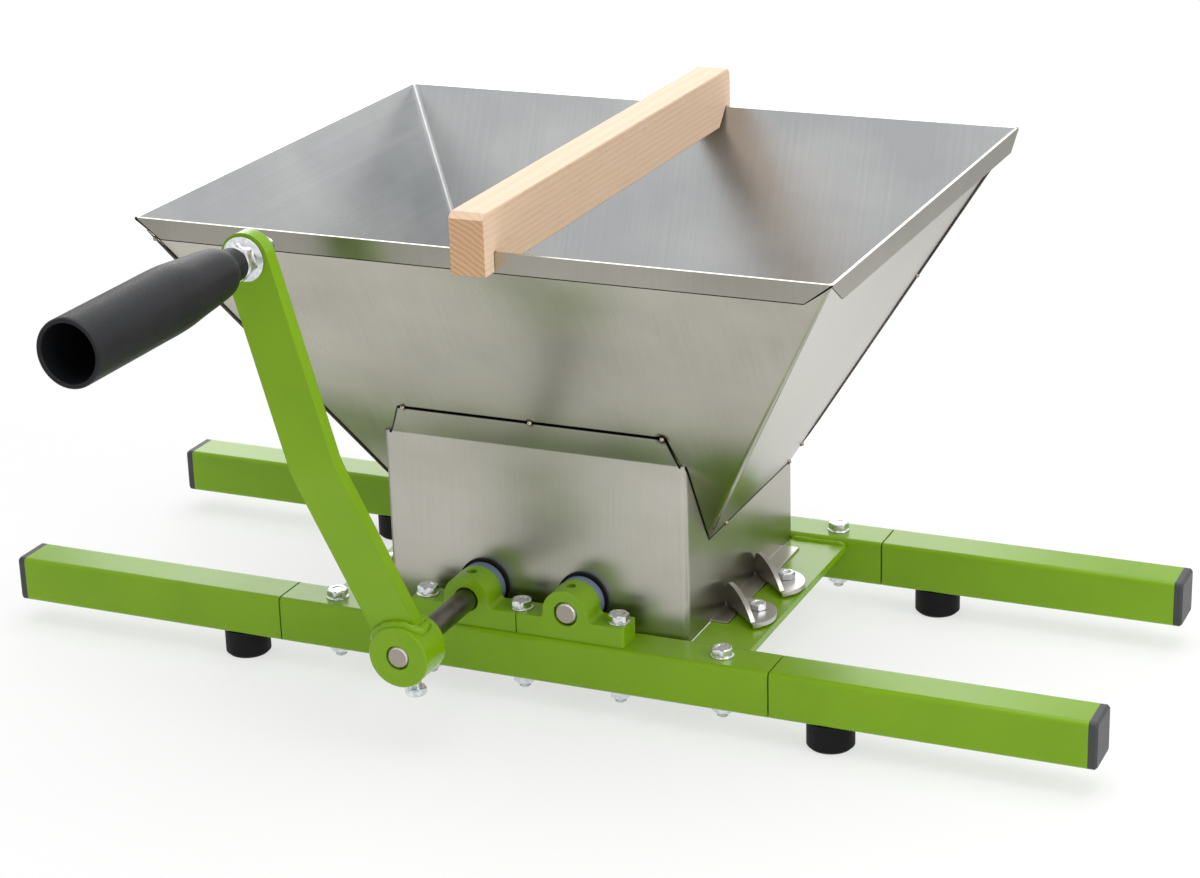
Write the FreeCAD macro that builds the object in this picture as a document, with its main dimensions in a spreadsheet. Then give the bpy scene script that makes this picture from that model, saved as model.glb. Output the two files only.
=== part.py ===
import FreeCAD, Part
import math
import os
import re
import Sketcher
from FreeCAD import Placement, Rotation, Vector

# A hand cranked apple scratter: a steel funnel on a square chute, with two toothed rollers that turn
# against each other between the rails of a green tube frame. X runs along the rails, Y from the crank to
# the back, Z up. The origin is on the floor, under the middle of the whole machine's outer box.

# Every size of the machine: name, value in millimetres or a count, and what it measures.
DRIVING = [
    ("tube_side", 25, "outer side of the square frame tube"),
    ("tube_wall", 2, "wall of the frame tube"),
    ("tube_corner", 2.5, "outer corner radius of the frame tube"),
    ("rail_length", 276, "length of the front and the rear rail"),
    ("rail_spacing", 178, "distance between the middles of the two rails"),
    ("frame_reach", 300, "from the frame's middle to the cut end of an arm tube"),
    ("joint_gap", 0.8, "gap between a rail and the arm plugged into it"),
    ("insert_wall", 2, "wall of the inner tube that joins an arm to its rail"),
    ("insert_play", 0.25, "clearance all round the inner tube in the rail"),
    ("insert_grip", 42, "length of the inner tube inside the rail"),
    ("insert_seat", 20, "length of the inner tube inside the arm"),
    ("lock_inset", 28.5, "from a rail's end to the bolt that locks the arm"),
    ("cap_flange", 4.5, "thickness of an end cap's outer flange"),
    ("cap_round", 1.2, "bevel of an end cap's outer edge"),
    ("cap_spigot", 12, "length of an end cap's plug inside the tube"),
    ("cap_play", 0.15, "clearance round an end cap's plug"),
    ("foot_height", 15, "height of a rubber foot"),
    ("foot_diameter", 24.5, "diameter of a rubber foot"),
    ("foot_place", 167, "from the frame's middle to the middle of a foot"),
    ("foot_round", 1.5, "rounding of a foot's lower edge"),
    ("foot_recess", 13, "diameter of the recess for the screw in a foot"),
    ("foot_web", 6, "rubber left between a foot's screw head and the tube"),
    ("foot_screw", 5, "thread diameter of a foot's screw"),
    ("foot_screw_head", 9.5, "head diameter of a foot's screw"),
    ("foot_screw_head_height", 3.2, "head height of a foot's screw"),
    ("plate_width", 31.5, "width of a cross plate"),
    ("plate_thick", 4, "thickness of a cross plate"),
    ("plate_inner", 86.5, "from the frame's middle to the inner edge of a cross plate"),
    ("plate_drop", 3, "from the top of the rails down to the top of a cross plate"),
    ("bolt_thread", 6, "thread diameter of the frame bolts"),
    ("bolt_flats", 10, "across flats of the frame bolts and nuts"),
    ("bolt_flange", 12.2, "flange diameter of the frame bolts"),
    ("bolt_flange_thick", 1.2, "flange thickness of the frame bolts"),
    ("bolt_head", 4.8, "height of the frame bolts' heads with the flange"),
    ("nut_height", 5.5, "height of the frame nuts"),
    ("bolt_end", 3, "thread that stands out below a frame nut"),
    ("hole_play", 0.3, "clearance all round a bolt in its hole"),
    ("shaft_diameter", 12, "diameter of the two roller shafts"),
    ("shaft_spacing", 56, "distance between the two shafts"),
    ("shaft_chamfer", 1.2, "chamfer at the shaft ends"),
    ("block_reach", 32.2, "from a shaft to the outer end of its bearing blocks"),
    ("block_gap", 0.6, "gap between the two bearing blocks on a rail"),
    ("block_depth", 16, "depth of a bearing block along the shaft"),
    ("block_shift", 2, "from a rail's middle outwards to the middle of its blocks"),
    ("block_base", 11, "height of a bearing block's foot"),
    ("block_round", 1.5, "rounding of the upright edges at a block's outer end"),
    ("boss_wall", 6.15, "metal round the bore of a block at its outer face"),
    ("boss_lift", 1.65, "from the top of a rail up to the lowest point of a boss's circle"),
    ("boss_fillet", 2.5, "fillet between a bearing block's boss and its foot"),
    ("block_bore_play", 0.6, "gap between a shaft and the bore of a block at its outer face"),
    ("block_bolt_reach", 26.1, "from a shaft to the outer bolt of its bearing blocks"),
    ("grease_hole", 5.2, "diameter of the grease hole in a boss"),
    ("bush_wall", 2, "wall of a bush with its clearance on the shaft"),
    ("bush_length", 12, "length of a bush inside its block"),
    ("bush_step", 0.15, "how much smaller a bush's flange is than the boss"),
    ("seal_lift", 0.4, "gap between a seal ring and the top of the rail"),
    ("running_play", 0.06, "radial clearance of a shaft in its bushes"),
    ("seat_play", 0.02, "clearance between a bush or a hub and its seat"),
    ("seal_thick", 1.5, "thickness of a seal ring"),
    ("seal_gap", 0.3, "gap between a seal ring and a bush"),
    ("seal_play", 0.1, "radial clearance of a shaft in its seal rings"),
    ("sheet", 1, "thickness of the stainless sheet"),
    ("sheet_bend", 3, "outer radius of a bend in the sheet"),
    ("seam_gap", 0.5, "open gap at a corner seam between two sheets"),
    ("chute_width", 168, "outer width of the chute"),
    ("chute_shift", 2, "from the frame's middle to the chute's middle, to the right"),
    ("chute_play", 0.5, "gap between the chute and each rail"),
    ("chute_low", 9, "from the underside of the rails up to the chute's lower edge"),
    ("chute_hole", 9, "radius of the holes in the chute for the shafts"),
    ("seam_rise", 43, "from the top of the rails up to where the funnel meets the chute"),
    ("throat_front", 46, "from the frame's middle to the front of the funnel's lower edge"),
    ("tab_length", 20, "length of the chute's front tab along the funnel wall"),
    ("tab_taper_left", 13, "how much shorter the tab's upper edge is at its left end"),
    ("tab_taper_right", 6.5, "how much shorter the tab's upper edge is at its right end"),
    ("flange_width", 10, "width of the chute's foot flanges"),
    ("flange_front", 46, "from the frame's middle to the front end of a foot flange"),
    ("flange_back", 62, "from the frame's middle to the back end of a foot flange"),
    ("rim_width", 366, "outer width of the funnel's rim"),
    ("rim_depth", 302, "outer depth of the funnel's rim"),
    ("rim_height", 259, "height of the rim over the floor"),
    ("rim_right", 6, "from the frame's middle to the rim's middle, to the right"),
    ("rim_back", 3, "from the frame's middle to the rim's middle, to the back"),
    ("hem_height", 10.5, "height of the folded hem round the rim"),
    ("hem_mitre", 14, "how much shorter the hem's lower edge is at each corner"),
    ("guide_sheet", 1.2, "thickness of the guide plates beside the rollers"),
    ("guide_gap", 3, "gap between a guide plate's lip and the roller's teeth"),
    ("guide_lip", 8, "height of a guide plate's lip"),
    ("guide_flange", 10, "height of a guide plate's flange on the chute wall"),
    ("guide_drop", 12, "from the seam down to the top of a guide plate"),
    ("guide_end_gap", 0.3, "gap between a guide plate's ends and the bends of the chute"),
    ("clip_radius", 17.5, "half the width of a hold-down clip"),
    ("clip_thick", 2.5, "thickness of a hold-down clip"),
    ("clip_lap", 20, "reach of a clip's flat half from the fold"),
    ("clip_rise", 14, "height of a clip's upright half"),
    ("clip_front", 36.8, "from the frame's middle to the middle of a front clip"),
    ("clip_back", 6.5, "from the frame's middle to the middle of a rear clip"),
    ("clip_bolt_lap", 11, "from a clip's fold to its bolt"),
    ("clip_thread", 5, "thread diameter of the clips' bolts"),
    ("clip_flats", 8, "across flats of the clips' bolts and nuts"),
    ("clip_bolt_head", 3.6, "head height of the clips' bolts"),
    ("clip_nut", 4.2, "height of the clips' nuts"),
    ("clip_bolt_end", 2.5, "thread that stands out below a clip's nut"),
    ("core_radius", 17, "radius of a roller's core"),
    ("roller_play", 2, "gap between a roller's end and the chute"),
    ("tooth_reach", 25.5, "from a shaft's middle to the tips of a roller's teeth"),
    ("tooth_depth", 6.5, "depth of the teeth in a blade"),
    ("tooth_pitch", 14, "distance from one tooth to the next"),
    ("tooth_count", 10, "teeth on one blade"),
    ("tooth_tip", 2.5, "length of the flat tip of a tooth"),
    ("blade_thick", 2, "thickness of a blade"),
    ("blade_count", 6, "blades on one roller"),
    ("blade_seat", 3.5, "depth of a blade's slot in the core"),
    ("blade_play", 0.05, "clearance of a blade in its slot"),
    ("gear_teeth", 28, "teeth on each gear"),
    ("gear_width", 12, "width of a gear's toothed rim"),
    ("gear_gap", 1.5, "from the rear rail or a rear block to the gears' toothed rims"),
    ("gear_hub_radius", 11, "radius of a gear's hub"),
    ("gear_hub", 10, "length of a gear's outer hub"),
    ("gear_spacer_radius", 9.5, "radius of a gear's inner hub"),
    ("gear_thrust_gap", 0.3, "gap between a gear's inner hub and the block"),
    ("gear_backlash", 0.16, "thinning of each gear tooth"),
    ("hub_radius", 16, "radius of the crank's hub"),
    ("hub_length", 22, "length of the crank's hub"),
    ("hub_chamfer", 0.8, "chamfer of the hub's edges"),
    ("hub_front", 176, "from the frame's middle to the hub's outer face"),
    ("hub_play", 0.35, "clearance of the shaft in the crank's hub"),
    ("set_bolt_thread", 6, "thread diameter of the hub's set bolt"),
    ("set_bolt_flats", 10, "across flats of the hub's set bolt"),
    ("set_bolt_head", 4, "head height of the hub's set bolt"),
    ("set_bolt_out", 7, "thread that shows between the hub and the set bolt's head"),
    ("set_bolt_inset", 4.5, "from the hub's inner face to the set bolt"),
    ("crank_length", 213.4, "from the shaft to the grip's axis"),
    ("crank_lean", 15.74, "lean of the crank to the left at rest, in degrees"),
    ("arm_width", 25, "width of the crank arm's flat bar"),
    ("arm_thick", 8, "thickness of the crank arm's flat bar"),
    ("arm_root", 163, "from the frame's middle to the arm's middle at the shaft"),
    ("arm_out", 192.5, "from the frame's middle to the middle of the arm's upper part"),
    ("arm_bend", 106.5, "from the shaft up to the arm's bend"),
    ("arm_bend_radius", 30, "radius of the arm's bend"),
    ("grip_thread", 10, "thread diameter of the grip's bolt"),
    ("grip_nut_flats", 16, "across flats of the grip bolt's nuts and head"),
    ("grip_nut_flange", 22, "flange diameter of the front nut"),
    ("grip_nut_flange_thick", 2, "flange thickness of the front nut"),
    ("grip_nut", 9, "height of the front nut"),
    ("grip_back_nut", 8, "height of the nut behind the arm"),
    ("grip_bolt_end", 2, "thread that stands out behind the back nut"),
    ("grip_bolt_head", 6.5, "head height of the grip's bolt"),
    ("grip_length", 139, "length of the grip"),
    ("grip_radius", 16, "outer radius of the grip"),
    ("grip_bore", 13.6, "radius of the grip's open bore"),
    ("grip_web", 30, "length of the grip's closed end, which turns on the bolt"),
    ("grip_neck", 8.2, "radius of the grip's neck"),
    ("grip_neck_length", 9, "length of the grip's neck"),
    ("grip_shoulder", 12, "radius of the grip's shoulder"),
    ("grip_shoulder_end", 15, "from the neck's end face to the shoulder"),
    ("grip_taper_end", 57, "from the neck's end face to the full radius"),
    ("grip_play", 0.1, "radial clearance of the grip on its bolt"),
    ("grip_end_gap", 0.4, "gap between the grip and the nut or the bolt's head"),
    ("bar_width", 18, "width of the wooden bar"),
    ("bar_length", 317, "length of the wooden bar"),
    ("bar_right", 12, "from the frame's middle to the middle of the bar"),
    ("bar_rise", 21, "height of the bar over the rim"),
    ("bar_drop", 9.5, "how far the bar's hooks reach below the rim"),
    ("bar_chamfer", 3, "chamfer at the bar's upper ends"),
    ("bar_edge", 0.8, "rounding of the bar's long edges"),
    ("bar_seat_play", 0.3, "gap between the bar's notch and the rim"),
    ("bar_notch_top", 2, "width of the notch's top inside the rim"),
    ("bar_notch_slope", 10, "how much wider the notch is at its mouth"),
]

# Places worked out from the sizes above.
DERIVED = [
    ("rail_place", "rail_spacing / 2", "from the frame's middle to a rail's middle"),
    ("rail_low", "foot_height", "underside of the rails"),
    ("rail_top", "foot_height + tube_side", "top of the rails"),
    ("rail_middle", "foot_height + tube_side / 2", "middle height of the rails"),
    ("arm_length", "frame_reach - rail_length / 2 - joint_gap", "length of an arm tube"),
    ("arm_place", "frame_reach - arm_length / 2", "from the frame's middle to an arm tube's middle"),
    ("tube_bore", "tube_side - 2 * tube_wall", "inner side of the frame tube"),
    ("lock_place", "rail_length / 2 - lock_inset", "from the frame's middle to a locking bolt"),
    ("shaft_place", "shaft_spacing / 2", "from the frame's middle to a shaft"),
    ("shaft_radius", "shaft_diameter / 2", "radius of the shafts"),
    ("block_bore", "shaft_diameter + 2 * block_bore_play", "bore of a bearing block at its outer face"),
    ("boss_radius", "block_bore / 2 + boss_wall", "radius of a bearing block's boss"),
    ("shaft_rise", "boss_radius + boss_lift", "from the top of the rails up to the shafts"),
    ("shaft_height", "rail_top + shaft_rise", "height of the shafts over the floor"),
    ("block_length", "shaft_place + block_reach", "from the frame's middle to a block's outer end"),
    ("block_bolt_place", "shaft_place + block_bolt_reach", "from the middle to a block's outer bolt"),
    ("bush_outer", "shaft_diameter + 2 * bush_wall", "outside diameter of a bush"),
    ("bush_flange", "boss_radius - bush_step", "radius of a bush's flange"),
    ("seal_radius", "shaft_rise - seal_lift", "outer radius of the seal rings on the chute"),
    ("chute_bottom", "rail_low + chute_low", "height of the chute's lower edge over the floor"),
    ("seam_height", "rail_top + seam_rise", "height over the floor where the funnel meets the chute"),
    ("gear_module", "shaft_spacing / gear_teeth", "module of the gears"),
    ("grip_left", "shaft_place + crank_length * sin(crank_lean)", "from the middle to the grip's axis"),
    ("grip_height", "shaft_height + crank_length * cos(crank_lean)", "height of the grip's axis"),
    ("plate_top", "rail_top - plate_drop", "top of the cross plates"),
    ("rail_inside", "rail_place - tube_side / 2", "from the frame's middle to a rail's inner face"),
    ("chute_face", "rail_inside - chute_play", "from the frame's middle to the chute's outer face"),
    ("block_place", "rail_place + block_shift", "from the frame's middle to a block's middle"),
    ("block_inside", "block_place - block_depth / 2", "from the frame's middle to a block's inner face"),
    ("block_outside", "block_place + block_depth / 2", "from the frame's middle to a block's outer face"),
    ("bush_flange_thick", "block_inside - chute_face - seal_thick - seal_gap", "length of a bush's flange"),
    ("gear_front", "max(block_outside; rail_place + tube_side / 2) + gear_gap", "inner face of the rims"),
    ("shaft_back", "gear_front + gear_width + gear_hub", "rear end of the shafts"),
    ("set_bolt_place", "hub_front - hub_length + set_bolt_inset", "from the frame's middle to the set bolt"),
    ("arm_face", "arm_out + arm_thick / 2", "from the frame's middle to the arm's front face"),
    ("grip_start", "arm_face + grip_nut + grip_end_gap", "from the frame's middle to the grip"),
    ("grip_end", "grip_start + grip_length", "from the frame's middle to the grip's open end"),
    ("bar_low", "rim_height - bar_drop", "underside of the wooden bar"),
    ("bar_top", "rim_height + bar_rise", "top of the wooden bar"),
    ("back_reach", "max(rim_back + rim_depth / 2; bar_length / 2)", "rearmost point of the machine"),
    ("middle_back", "(grip_end - back_reach) / 2", "from the outer box's middle back to the frame's middle"),
]

doc = FreeCAD.newDocument("apple_scratter")
sheet = doc.addObject("Spreadsheet::Sheet", "sizes")
ALIASES = set()
SUBPARTS = []


def fill_sheet():
    """Writes the driving sizes as plain numbers and the derived places as formulas."""
    rows = [(name, str(value), note) for name, value, note in DRIVING]
    rows += [(name, "=" + formula, note) for name, formula, note in DERIVED]
    for row, (name, content, note) in enumerate(rows, start=1):
        sheet.set(f"A{row}", name)
        sheet.set(f"B{row}", content)
        sheet.set(f"C{row}", note)
        sheet.setAlias(f"B{row}", name)
        ALIASES.add(name)
    doc.recompute()


def size(expression):
    """The value of a formula of sheet names."""
    return float(sheet.evalExpression(str(expression)))


def bind(obj, prop, expression):
    """Ties a property to a formula of sheet names."""
    tied = re.sub(r"[A-Za-z_]\w*", lambda m: f"sizes.{m[0]}" if m[0] in ALIASES else m[0], str(expression))
    obj.setExpression(prop, tied)


def place(obj, x=0, y=0, z=0, axis=Vector(0, 0, 1), degrees=0):
    """Puts a sub-part in the machine: x, y and z are measured from the frame's middle on the floor."""
    obj.Placement = Placement(Vector(0, 0, 0), Rotation(axis, degrees))
    bind(obj, "Placement.Base.x", x)
    bind(obj, "Placement.Base.y", f"({y}) + middle_back")
    bind(obj, "Placement.Base.z", z)


def keep(obj, label):
    """Names a sub-part and lists it for writing."""
    obj.Label = label
    SUBPARTS.append(obj)
    return obj


def new_body(label):
    """An empty body, named and listed."""
    return keep(doc.addObject("PartDesign::Body", "body_" + label), label)


def new_sketch(body, plane, offset=None):
    """A sketch on one of the body's own planes, moved along the plane's normal."""
    sketch = body.newObject("Sketcher::SketchObject", "outline")
    support = next(o for o in body.Origin.OriginFeatures if o.Role == plane + "_Plane")
    sketch.AttachmentSupport = [(support, "")]
    sketch.MapMode = "FlatFace"
    if offset is not None:
        bind(sketch, "AttachmentOffset.Base.z", offset)
    return sketch


def pin_point(sketch, geometry, point, x, y):
    """Fixes one point of a sketch at a place given by two formulas."""
    for letter, axis, formula in (("X", -2, x), ("Y", -1, y)):
        value = size(formula)
        if abs(value) < 1e-9 and str(formula).strip() in ("0", "0.0"):
            sketch.addConstraint(Sketcher.Constraint("PointOnObject", geometry, point, axis))
            continue
        index = sketch.addConstraint(Sketcher.Constraint("Distance" + letter, -1, 1, geometry, point, value))
        bind(sketch, f"Constraints[{index}]", formula)


def outline(body, plane, points, offset=None):
    """A closed outline of straight lines through points given as pairs of formulas."""
    sketch = new_sketch(body, plane, offset)
    corners = [Vector(size(x), size(y), 0) for x, y in points]
    count = len(points)
    for i in range(count):
        sketch.addGeometry(Part.LineSegment(corners[i], corners[(i + 1) % count]), False)
    for i in range(count):
        sketch.addConstraint(Sketcher.Constraint("Coincident", i, 2, (i + 1) % count, 1))
    for i, (x, y) in enumerate(points):
        pin_point(sketch, i, 1, x, y)
    return sketch


def rectangle(body, plane, width, height, x="0", y="0", offset=None):
    """A rectangle with its middle at x, y."""
    left, right = f"{x} - ({width}) / 2", f"{x} + ({width}) / 2"
    low, high = f"{y} - ({height}) / 2", f"{y} + ({height}) / 2"
    return outline(body, plane, [(left, low), (right, low), (right, high), (left, high)], offset)


def circle(body, plane, radius, x="0", y="0", offset=None):
    """A circle with its middle at x, y."""
    sketch = new_sketch(body, plane, offset)
    middle = Vector(size(x), size(y), 0)
    sketch.addGeometry(Part.Circle(middle, Vector(0, 0, 1), size(radius)), False)
    index = sketch.addConstraint(Sketcher.Constraint("Radius", 0, size(radius)))
    bind(sketch, f"Constraints[{index}]", radius)
    pin_point(sketch, 0, 3, x, y)
    return sketch


def pad(body, sketch, length, side="Symmetric", reverse=False):
    """Adds the sketch's outline as a solid of that length."""
    feature = body.newObject("PartDesign::Pad", "pad")
    feature.Profile = sketch
    feature.SideType = side
    feature.Reversed = reverse
    bind(feature, "Length", length)
    doc.recompute()
    return feature


def pocket(body, sketch, length=None, side="Symmetric", reverse=False):
    """Cuts the sketch's outline away, right through when no length is given."""
    feature = body.newObject("PartDesign::Pocket", "pocket")
    feature.Profile = sketch
    feature.SideType = side
    feature.Reversed = reverse
    if length is None:
        feature.Type = "ThroughAll"
    else:
        bind(feature, "Length", length)
    before = body.Shape.Volume
    doc.recompute()
    if not body.Shape.Volume < before:
        raise ValueError(f"a cut in {body.Label} removes nothing")
    return feature


def revolve(body, points, plane="XZ"):
    """Turns a closed outline about the body's Z axis."""
    sketch = outline(body, plane, points)
    feature = body.newObject("PartDesign::Revolution", "revolution")
    feature.Profile = sketch
    feature.ReferenceAxis = (sketch, ["V_Axis"])
    feature.Angle = 360
    doc.recompute()
    return feature


def fillet(body, radius, chosen, kind="Fillet"):
    """Rounds or chamfers the edges of the body that the test chooses."""
    doc.recompute()
    base = body.Tip
    names = [f"Edge{i}" for i, edge in enumerate(base.Shape.Edges, start=1) if chosen(edge)]
    if not names:
        raise ValueError(f"no edges chosen in {body.Label}")
    feature = body.newObject("PartDesign::" + kind, kind.lower())
    feature.Base = (base, names)
    bind(feature, "Radius" if kind == "Fillet" else "Size", radius)
    doc.recompute()
    if "Invalid" in feature.State:
        raise ValueError(f"an edge of {body.Label} can't be rounded")
    return feature


def runs_along(edge, axis):
    """Whether an edge is straight and parallel to an axis."""
    if edge.Curve.TypeId != "Part::GeomLine":
        return False
    way = edge.Vertexes[-1].Point - edge.Vertexes[0].Point
    return abs(abs(way.normalize().dot(axis)) - 1) < 1e-6


def near(value, wanted, within=1e-3):
    """Whether two lengths agree."""
    return abs(value - wanted) < within


def solid_feature(label, shape):
    """A sub-part whose form is set directly, in the frame's coordinates."""
    feature = doc.addObject("Part::Feature", "solid_" + label)
    feature.Shape = Part.makeCompound(shape.Solids)
    place(feature)
    return keep(feature, label)


def primitive(kind, **sizes):
    """A basic solid with its sizes tied to the sheet."""
    obj = doc.addObject("Part::" + kind, kind.lower())
    for prop, formula in sizes.items():
        bind(obj, prop, formula)
    return obj


def group(label, master, spots):
    """Equal copies of a master solid as one sub-part; each spot is a placement in the model."""
    doc.recompute()
    copies = []
    for spot in spots:
        copy = master.Shape.copy()
        copy.Placement = spot.multiply(copy.Placement)
        copies.append(copy)
    return solid_feature(label, Part.makeCompound(copies))


def at(x, y, z, axis=Vector(0, 0, 1), degrees=0):
    """A placement from formulas of sheet names."""
    return Placement(Vector(size(x), size(y), size(z)), Rotation(axis, degrees))


SIDES = (("left", -1), ("right", 1))
ENDS = (("front", -1), ("rear", 1))
X_AXIS = Vector(1, 0, 0)
Y_AXIS = Vector(0, 1, 0)
Z_AXIS = Vector(0, 0, 1)


# The tube frame.

def square_tube(label, length, side, wall, corner, holes=(), screws=()):
    """A square tube along X about its own middle, with bolt holes right through and screw holes below."""
    body = new_body(label)
    pad(body, rectangle(body, "YZ", side, side), length)
    fillet(body, corner, lambda edge: runs_along(edge, X_AXIS))
    pocket(body, rectangle(body, "YZ", f"{side} - 2 * {wall}", f"{side} - 2 * {wall}"))
    for x, y in holes:
        pocket(body, circle(body, "XY", "bolt_thread / 2 + hole_play", x, y))
    for spot in screws:
        pocket(body, circle(body, "XY", "foot_screw / 2 + seat_play", spot), None, "One side")
    return body


def rails():
    """The front and the rear rail, each with holes for two locking bolts and three block bolts."""
    for end, back in ENDS:
        holes = [("-lock_place", "0"), ("lock_place", "0")]
        holes += [(x, f"{back} * block_shift") for x in ("-block_bolt_place", "block_bolt_place", "0")]
        rail = square_tube(f"{end}_rail", "rail_length", "tube_side", "tube_wall", "tube_corner", holes)
        place(rail, 0, f"{back} * rail_place", "rail_middle")


def arms():
    """Four arms that plug into the rails' ends, each with a cap and a foot."""
    for end, back in ENDS:
        for side, right in SIDES:
            corner = f"{end}_{side}"
            y = f"{back} * rail_place"
            arm(f"{corner}_arm", right, y)
            end_cap(f"{corner}_end_cap", right, y)
            foot(f"{corner}_foot", right, y)


def arm(label, right, y):
    """An arm tube with a smaller tube welded into its inner end, which slides into the rail."""
    body = square_tube(label, "arm_length", "tube_side", "tube_wall", "tube_corner",
                       screws=[f"{right} * (foot_place - arm_place)"])
    joint = f"-{right} * arm_length / 2"
    stub = "(tube_bore - 2 * insert_play)"
    seat = rectangle(body, "YZ", "tube_bore", "tube_bore", offset=joint)
    pad(body, seat, "insert_seat", "One side", right < 0)
    plug = rectangle(body, "YZ", stub, stub, offset=joint)
    pad(body, plug, "insert_grip + joint_gap", "One side", right > 0)
    pocket(body, rectangle(body, "YZ", f"{stub} - 2 * insert_wall", f"{stub} - 2 * insert_wall"))
    hole_place = f"-{right} * (arm_length / 2 + joint_gap + lock_inset)"
    pocket(body, circle(body, "XY", "bolt_thread / 2 + hole_play", hole_place))
    place(body, f"{right} * arm_place", y, "rail_middle")


def end_cap(label, right, y):
    """A plastic cap: a rounded flange over the tube's cut end and a plug inside it."""
    body = new_body(label)
    flange = rectangle(body, "YZ", "tube_side", "tube_side")
    pad(body, flange, "cap_flange", "One side")
    fillet(body, "tube_corner", lambda edge: runs_along(edge, X_AXIS))
    face = size("cap_flange")
    fillet(body, "cap_round", lambda edge: all(near(v.Point.x, face) for v in edge.Vertexes), "Chamfer")
    plug = "tube_bore - 2 * cap_play"
    pad(body, rectangle(body, "YZ", plug, plug), "cap_spigot", "One side", True)
    hollow = "tube_bore - 2 * cap_play - 2 * tube_wall"
    pocket(body, rectangle(body, "YZ", hollow, hollow, offset="-cap_spigot"), "cap_spigot", "One side", True)
    place(body, f"{right} * frame_reach", y, "rail_middle", degrees=0 if right > 0 else 180)


def foot(label, right, y):
    """A rubber foot: a short cylinder with a recess below for its screw."""
    body = new_body(label)
    edge, recess = "foot_diameter / 2", "foot_recess / 2"
    hole = "foot_screw / 2 + seat_play"
    ceiling = "foot_height - foot_web"
    revolve(body, [(recess, "0"), (f"{edge} - foot_round", "0"), (edge, "foot_round"), (edge, "foot_height"),
                   (hole, "foot_height"), (hole, ceiling), (recess, ceiling)])
    place(body, f"{right} * foot_place", y, 0)


def cross_plates():
    """Two flat bars welded between the rails, with holes for the clips' bolts."""
    for side, right in SIDES:
        body = new_body(f"{side}_cross_plate")
        pad(body, rectangle(body, "XY", "plate_width", "2 * rail_inside"), "plate_thick", "One side", True)
        for back, y in (("-1", "clip_front"), ("1", "clip_back")):
            spot_x, spot_y = clip_bolt_spot(right, back, y)
            x = f"{spot_x} - {right} * (plate_inner + plate_width / 2)"
            pocket(body, circle(body, "XY", "clip_thread / 2 + hole_play", x, spot_y))
        place(body, f"{right} * (plate_inner + plate_width / 2)", 0, "plate_top")


def foot_screws():
    """The four screws that hold the feet."""
    head = primitive("Cylinder", Radius="foot_screw_head / 2", Height="foot_screw_head_height")
    bind(head, "Placement.Base.z", "foot_height - foot_web - foot_screw_head_height")
    shank = primitive("Cylinder", Radius="foot_screw / 2", Height="foot_web + tube_wall + foot_screw")
    bind(shank, "Placement.Base.z", "foot_height - foot_web")
    master = doc.addObject("Part::MultiFuse", "foot_screw")
    master.Shapes = [head, shank]
    group("foot_screws", master,
          [at(f"{right} * foot_place", f"{back} * rail_place", 0) for _, back in ENDS for _, right in SIDES])


def hexagon(flats, height, low):
    """A hexagonal prism by its width across flats, from a height upwards."""
    prism = primitive("Prism", Circumradius=f"({flats}) / sqrt(3)", Height=height)
    prism.Polygon = 6
    bind(prism, "Placement.Base.z", low)
    return prism


def fuse(name, parts):
    """One solid out of several."""
    joined = doc.addObject("Part::MultiFuse", name)
    joined.Shapes = parts
    return joined


def drill(name, base, radius):
    """A round hole along Z, right through a solid."""
    tool = primitive("Cylinder", Radius=radius, Height="4 * rail_top")
    bind(tool, "Placement.Base.z", "-2 * rail_top")
    cut = doc.addObject("Part::Cut", name)
    cut.Base = base
    cut.Tool = tool
    return cut


def cylinder_up(radius, height, low):
    """A cylinder along Z from a height upwards."""
    cylinder = primitive("Cylinder", Radius=radius, Height=height)
    bind(cylinder, "Placement.Base.z", low)
    return cylinder


def flange_bolt(name, grip):
    """A flange bolt that points down from z 0 through a grip, a nut and a short end."""
    flange = cylinder_up("bolt_flange / 2", "bolt_flange_thick", 0)
    head = hexagon("bolt_flats", "bolt_head", 0)
    below = f"({grip} + nut_height + bolt_end)"
    return fuse(name, [flange, head, cylinder_up("bolt_thread / 2", below, f"-{below}")])


def frame_fasteners():
    """Bolts and nuts that lock the arms, and those that hold the bearing blocks on the rails."""
    nut = drill("frame_nut", hexagon("bolt_flats", "nut_height", "-nut_height"), "bolt_thread / 2")
    locks = [(f"{right} * lock_place", f"{back} * rail_place") for _, back in ENDS for _, right in SIDES]
    blocks = [(x, f"{back} * block_place") for _, back in ENDS
              for x in ("-block_bolt_place", "0", "block_bolt_place")]
    lock_bolt = flange_bolt("lock_bolt", "tube_side")
    block_bolt = flange_bolt("block_bolt", "(tube_side + block_base)")
    group("arm_bolts", lock_bolt, [at(x, y, "rail_top") for x, y in locks])
    group("arm_nuts", nut, [at(x, y, "rail_low") for x, y in locks])
    group("block_bolts", block_bolt, [at(x, y, "rail_top + block_base") for x, y in blocks])
    group("block_nuts", nut, [at(x, y, "rail_low") for x, y in blocks])


# The bearings.

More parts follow.
